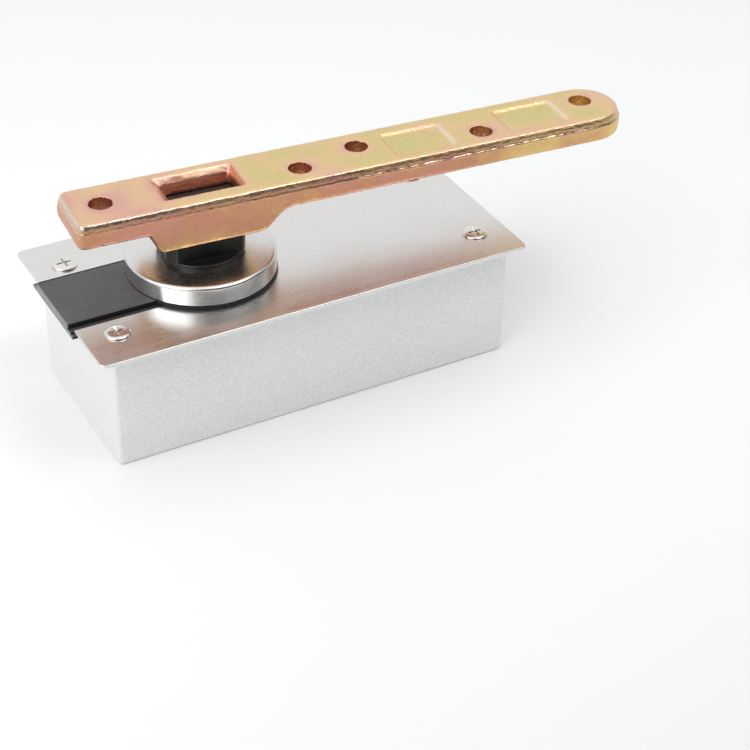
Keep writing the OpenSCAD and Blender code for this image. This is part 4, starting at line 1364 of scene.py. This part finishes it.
@dataclass
class ThreadedScrew:
    """A screw with its real thread, in place of an imported one that has a plain shank."""

    node: str
    drive: Drive
    finish: Finish
    sizes: ScrewSizes
    sides: int = 48
    rows_a_turn: int = 8
    thread_depth: float = 0.61
    plain_turns: float = 1.6
    point_turns: float = 1.1
    wing_half: float = 0.14

    def build(self) -> bpy.types.Object:
        """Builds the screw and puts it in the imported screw's place.

        Returns:
            The finished piece.
        """
        low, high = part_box(self.node)
        size, middle = high - low, (low + high) / 2
        lying = self.drive is Drive.GRUB
        length = (size.x if lying else size.z) - self.sizes.head_h
        rings = self.head_rings() + self.thread_rings(length)
        piece = closed_skin("threaded_" + self.node, rings, self.finish)
        cut_away(piece, self.recess_tool())
        way = Matrix.Rotation(math.radians(90.0), 4, "Y") if lying else Matrix.Identity(4)
        seat = (high.x, middle.y, middle.z) if lying else (middle.x, middle.y, low.z + length)
        piece.data.transform(Matrix.Translation(seat) @ way)
        piece.data.shade_smooth()
        piece.data.set_sharp_from_angle(angle=math.radians(38.0))
        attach(piece, frame["nodes"][self.node]["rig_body"])
        take_place(self.node)
        return piece

    def head_rings(self) -> list[np.ndarray]:
        """Draws the head in rings from its crown down to its seat, or a grub screw's flat end."""
        radius = self.sizes.head_r or self.sizes.shank_r
        return [self.ring(r * radius, z * self.sizes.head_h) for r, z in HEAD_PROFILES[self.drive]]

    def thread_rings(self, length: float) -> list[np.ndarray]:
        """Draws the shank, from its root down to its tip.

        Args:
            length: The shank's length.

        Returns:
            Rings of points, whose distance from the axis follows the thread.
        """
        shank_r, pitch = self.sizes.shank_r, self.sizes.pitch
        depth = self.thread_depth * pitch
        plain = 0.0 if self.drive is Drive.GRUB else self.plain_turns * pitch
        rows = int(length / pitch * self.rows_a_turn)
        angle = np.linspace(0.0, 2.0 * math.pi, self.sides, endpoint=False)
        rings = []
        for row in range(rows + 1):
            down = length * row / rows
            wave = np.abs(((down / pitch + angle / (2.0 * math.pi)) % 1.0) * 2.0 - 1.0)
            cut = depth * np.clip(wave * 1.3 - 0.15, 0.0, 1.0)
            run_in = min(1.0, max(0.0, (down - plain) / pitch + 0.3)) if plain else 1.0
            taper = max(0.0, 1.0 - (length - down) / (self.point_turns * pitch)) * depth * 1.2
            radius = np.maximum(shank_r - np.maximum(cut * run_in, taper), 0.5 * shank_r)
            rings.append(self.ring(radius, -down))
        return rings

    def ring(self, radius: float | np.ndarray, height: float) -> np.ndarray:
        """Draws a ring of points round the axis, at one radius or at each point's own."""
        angle = np.linspace(0.0, 2.0 * math.pi, self.sides, endpoint=False)
        return np.stack([radius * np.cos(angle), radius * np.sin(angle), np.full(self.sides, height)], axis=1)

    def recess_tool(self) -> bpy.types.Object:
        """Builds the tool that cuts the recess: a tapering cross, or a hexagon.

        Returns:
            A closed piece that reaches down into the head.
        """
        reach = self.sizes.recess_r
        if self.drive is Drive.CROSS:
            half, plan = self.wing_half * reach, []
            for turn in range(4):
                way = complex(0, 1) ** turn
                plan += [p * way for p in (complex(reach, -half), complex(reach, half), complex(half, half))]
            lower = [0.55 * p if abs(p) > 1.5 * half else 0.8 * p for p in plan]
        else:
            plan = [reach * complex(math.cos(a), math.sin(a)) for a in np.arange(6) * math.pi / 3]
            lower = plan
        levels = (self.sizes.head_h + 0.4 * MM, plan), (self.sizes.head_h - self.sizes.recess_h, lower)
        rings = [np.array([(p.real, p.imag, level) for p in points]) for level, points in levels]
        return closed_skin("recess_tool", rings, self.finish)


# ------------------------------------------------------------------ springs


@dataclass
class CoilSpring:
    """A spring with closed end turns, in place of the imported one."""

    node: str
    outside_r: float = 9.0 * MM
    wire_r: float = 1.5 * MM
    pitch: float = 6.5 * MM
    closed_rise: float = 3.09 * MM
    steps_a_turn: int = 36
    sides: int = 14

    def build(self) -> bpy.types.Object:
        """Winds the spring between the carriage's crosshead and its seat.

        Returns:
            The finished piece.
        """
        low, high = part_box(self.node)
        piece = closed_skin("wound_" + self.node, self.wire_rings(low, high), SPRING_STEEL)
        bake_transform(piece)
        take_place(self.node)
        return piece

    def wire_rings(self, low: Vector, high: Vector) -> list[np.ndarray]:
        """Draws the wire along its turns.

        Args:
            low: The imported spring's lowest corner.
            high: Its highest corner.

        Returns:
            Rings of points round the wire, from end to end.
        """
        middle = (low + high) / 2
        inner = high.x - low.x - 2.0 * self.wire_r - 2.0 * self.closed_rise
        open_turns = max(1, round(inner / self.pitch))
        side = np.linspace(0.0, 2.0 * math.pi, self.sides, endpoint=False)
        out = self.outside_r - self.wire_r + self.wire_r * np.cos(side)
        rings = []
        for step in range((open_turns + 2) * self.steps_a_turn + 1):
            turn = step / self.steps_a_turn
            run = self.wire_r + self.closed_rise * (min(turn, 1.0) + max(0.0, turn - open_turns - 1.0))
            run += inner / open_turns * min(max(turn - 1.0, 0.0), open_turns)
            angle = 2.0 * math.pi * turn
            rings.append(np.stack([low.x + run + self.wire_r * np.sin(side), middle.y + out * math.cos(angle),
                                   middle.z + out * math.sin(angle)], axis=1))
        return rings


# ------------------------------------------------------------------ the sub-assemblies


@dataclass
class Case:
    """The cement case, its corner posts and the cover plate that closes it."""

    edge: float = 0.12 * MM
    screw: ScrewSizes = ScrewSizes(3.0 * MM, 1.0 * MM, 5.5 * MM, 1.4 * MM, 4.0 * MM, 1.5 * MM)

    def build(self) -> list[bpy.types.Object]:
        """Dresses the case, posts and plate, and builds the cover screws.

        Returns:
            The pieces.
        """
        pieces = [dress("cement_case", SILVER_CASE), dress("cover_plate", BRUSHED_PLATE, self.edge)]
        for number in range(1, 5):
            pieces.append(dress(f"screw_post_{number}", PLAIN_STEEL))
            pieces.append(ThreadedScrew(f"cover_screw_{number}", Drive.CROSS, BRIGHT_NICKEL, self.screw).build())
        return pieces


@dataclass
class Seals:
    """The rubber strip in the plate's slot and the ring under the disc cap."""

    edge: float = 0.2 * MM

    def build(self) -> list[bpy.types.Object]:
        """Dresses the strip and the ring."""
        return [dress("slot_strip", CUT_RUBBER, self.edge), dress("sealing_ring", BLACK_RUBBER, self.edge)]


@dataclass
class Housing:
    """The iron housing with its lid, bushes, lid screws and hold-down bolts."""

    edge: float = 0.4 * MM
    lid_screw: ScrewSizes = ScrewSizes(2.5 * MM, 0.8 * MM, 4.25 * MM, 3.0 * MM, 2.25 * MM, 1.75 * MM)
    bolt: ScrewSizes = ScrewSizes(3.0 * MM, 1.0 * MM, 5.1 * MM, 3.6 * MM, 2.7 * MM, 2.1 * MM)

    def build(self) -> list[bpy.types.Object]:
        """Dresses the castings and bushes, and builds their screws.

        Returns:
            The pieces.
        """
        pieces = [dress(node, CAST_IRON, self.edge) for node in ("housing", "housing_lid")]
        pieces += [dress(node, BRONZE) for node in ("foot_bush", "neck_bush")]
        screws = [(f"lid_screw_{number}", self.lid_screw) for number in range(1, 7)]
        screws += [(f"hold_down_bolt_{number}", self.bolt) for number in range(1, 3)]
        return pieces + [ThreadedScrew(node, Drive.SOCKET, PLAIN_STEEL, sizes).build() for node, sizes in screws]


@dataclass
class SpindleGroup:
    """The spindle with its cap, bearing, key, cam and circlip, and the arm on its block."""

    edge: float = 0.35 * MM

    def build(self) -> list[bpy.types.Object]:
        """Dresses the turning pieces and builds the arm.

        Returns:
            The pieces.
        """
        pieces = [
            dress("spindle", BLACK_OXIDE, self.edge), dress("disc_cap", TURNED_CAP),
            dress("thrust_race_lower", BEARING_STEEL), dress("thrust_race_upper", BEARING_STEEL),
            dress("thrust_balls", BEARING_STEEL), dress("thrust_cage", BRONZE),
            dress("cam_disc", PLAIN_STEEL, self.edge), dress("cam_key", PLAIN_STEEL),
            dress("cam_circlip", SPRING_STEEL)]
        return [*pieces, CastArm().build()]


@dataclass
class Detent:
    """The roller carriage, its springs and seats, and the tension screws with their nuts."""

    edge: float = 0.3 * MM
    screw: ScrewSizes = ScrewSizes(4.0 * MM, 1.25 * MM, 0.0, 0.0, 2.0 * MM, 4.0 * MM)

    def build(self) -> list[bpy.types.Object]:
        """Dresses the carriage, roller, seats and nuts, winds the springs and builds the tension screws.

        Returns:
            The pieces.
        """
        pieces = [
            dress("roller_carriage", CAST_IRON, self.edge), dress("roller_pin", PLAIN_STEEL),
            dress("cam_roller", BEARING_STEEL)]
        for number in (1, 2):
            pieces += [
                CoilSpring(f"compression_spring_{number}").build(),
                dress(f"spring_seat_{number}", PLAIN_STEEL),
                dress(f"lock_nut_{number}", PLAIN_STEEL, self.edge),
                ThreadedScrew(f"tension_screw_{number}", Drive.GRUB, PLAIN_STEEL, self.screw).build()]
        return pieces


def main() -> None:
    """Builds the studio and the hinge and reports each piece."""
    logging.basicConfig(level=logging.INFO, format="%(name)s: %(message)s")
    build_effects()
    Studio().build()
    for assembly in (Case(), Seals(), Housing(), SpindleGroup(), Detent()):
        for piece in assembly.build():
            log.info("%s: %s in %s, %d faces", type(assembly).__name__, piece.name,
                     piece.data.materials[0].name, len(piece.data.polygons))


if __name__ == "__main__":
    main()
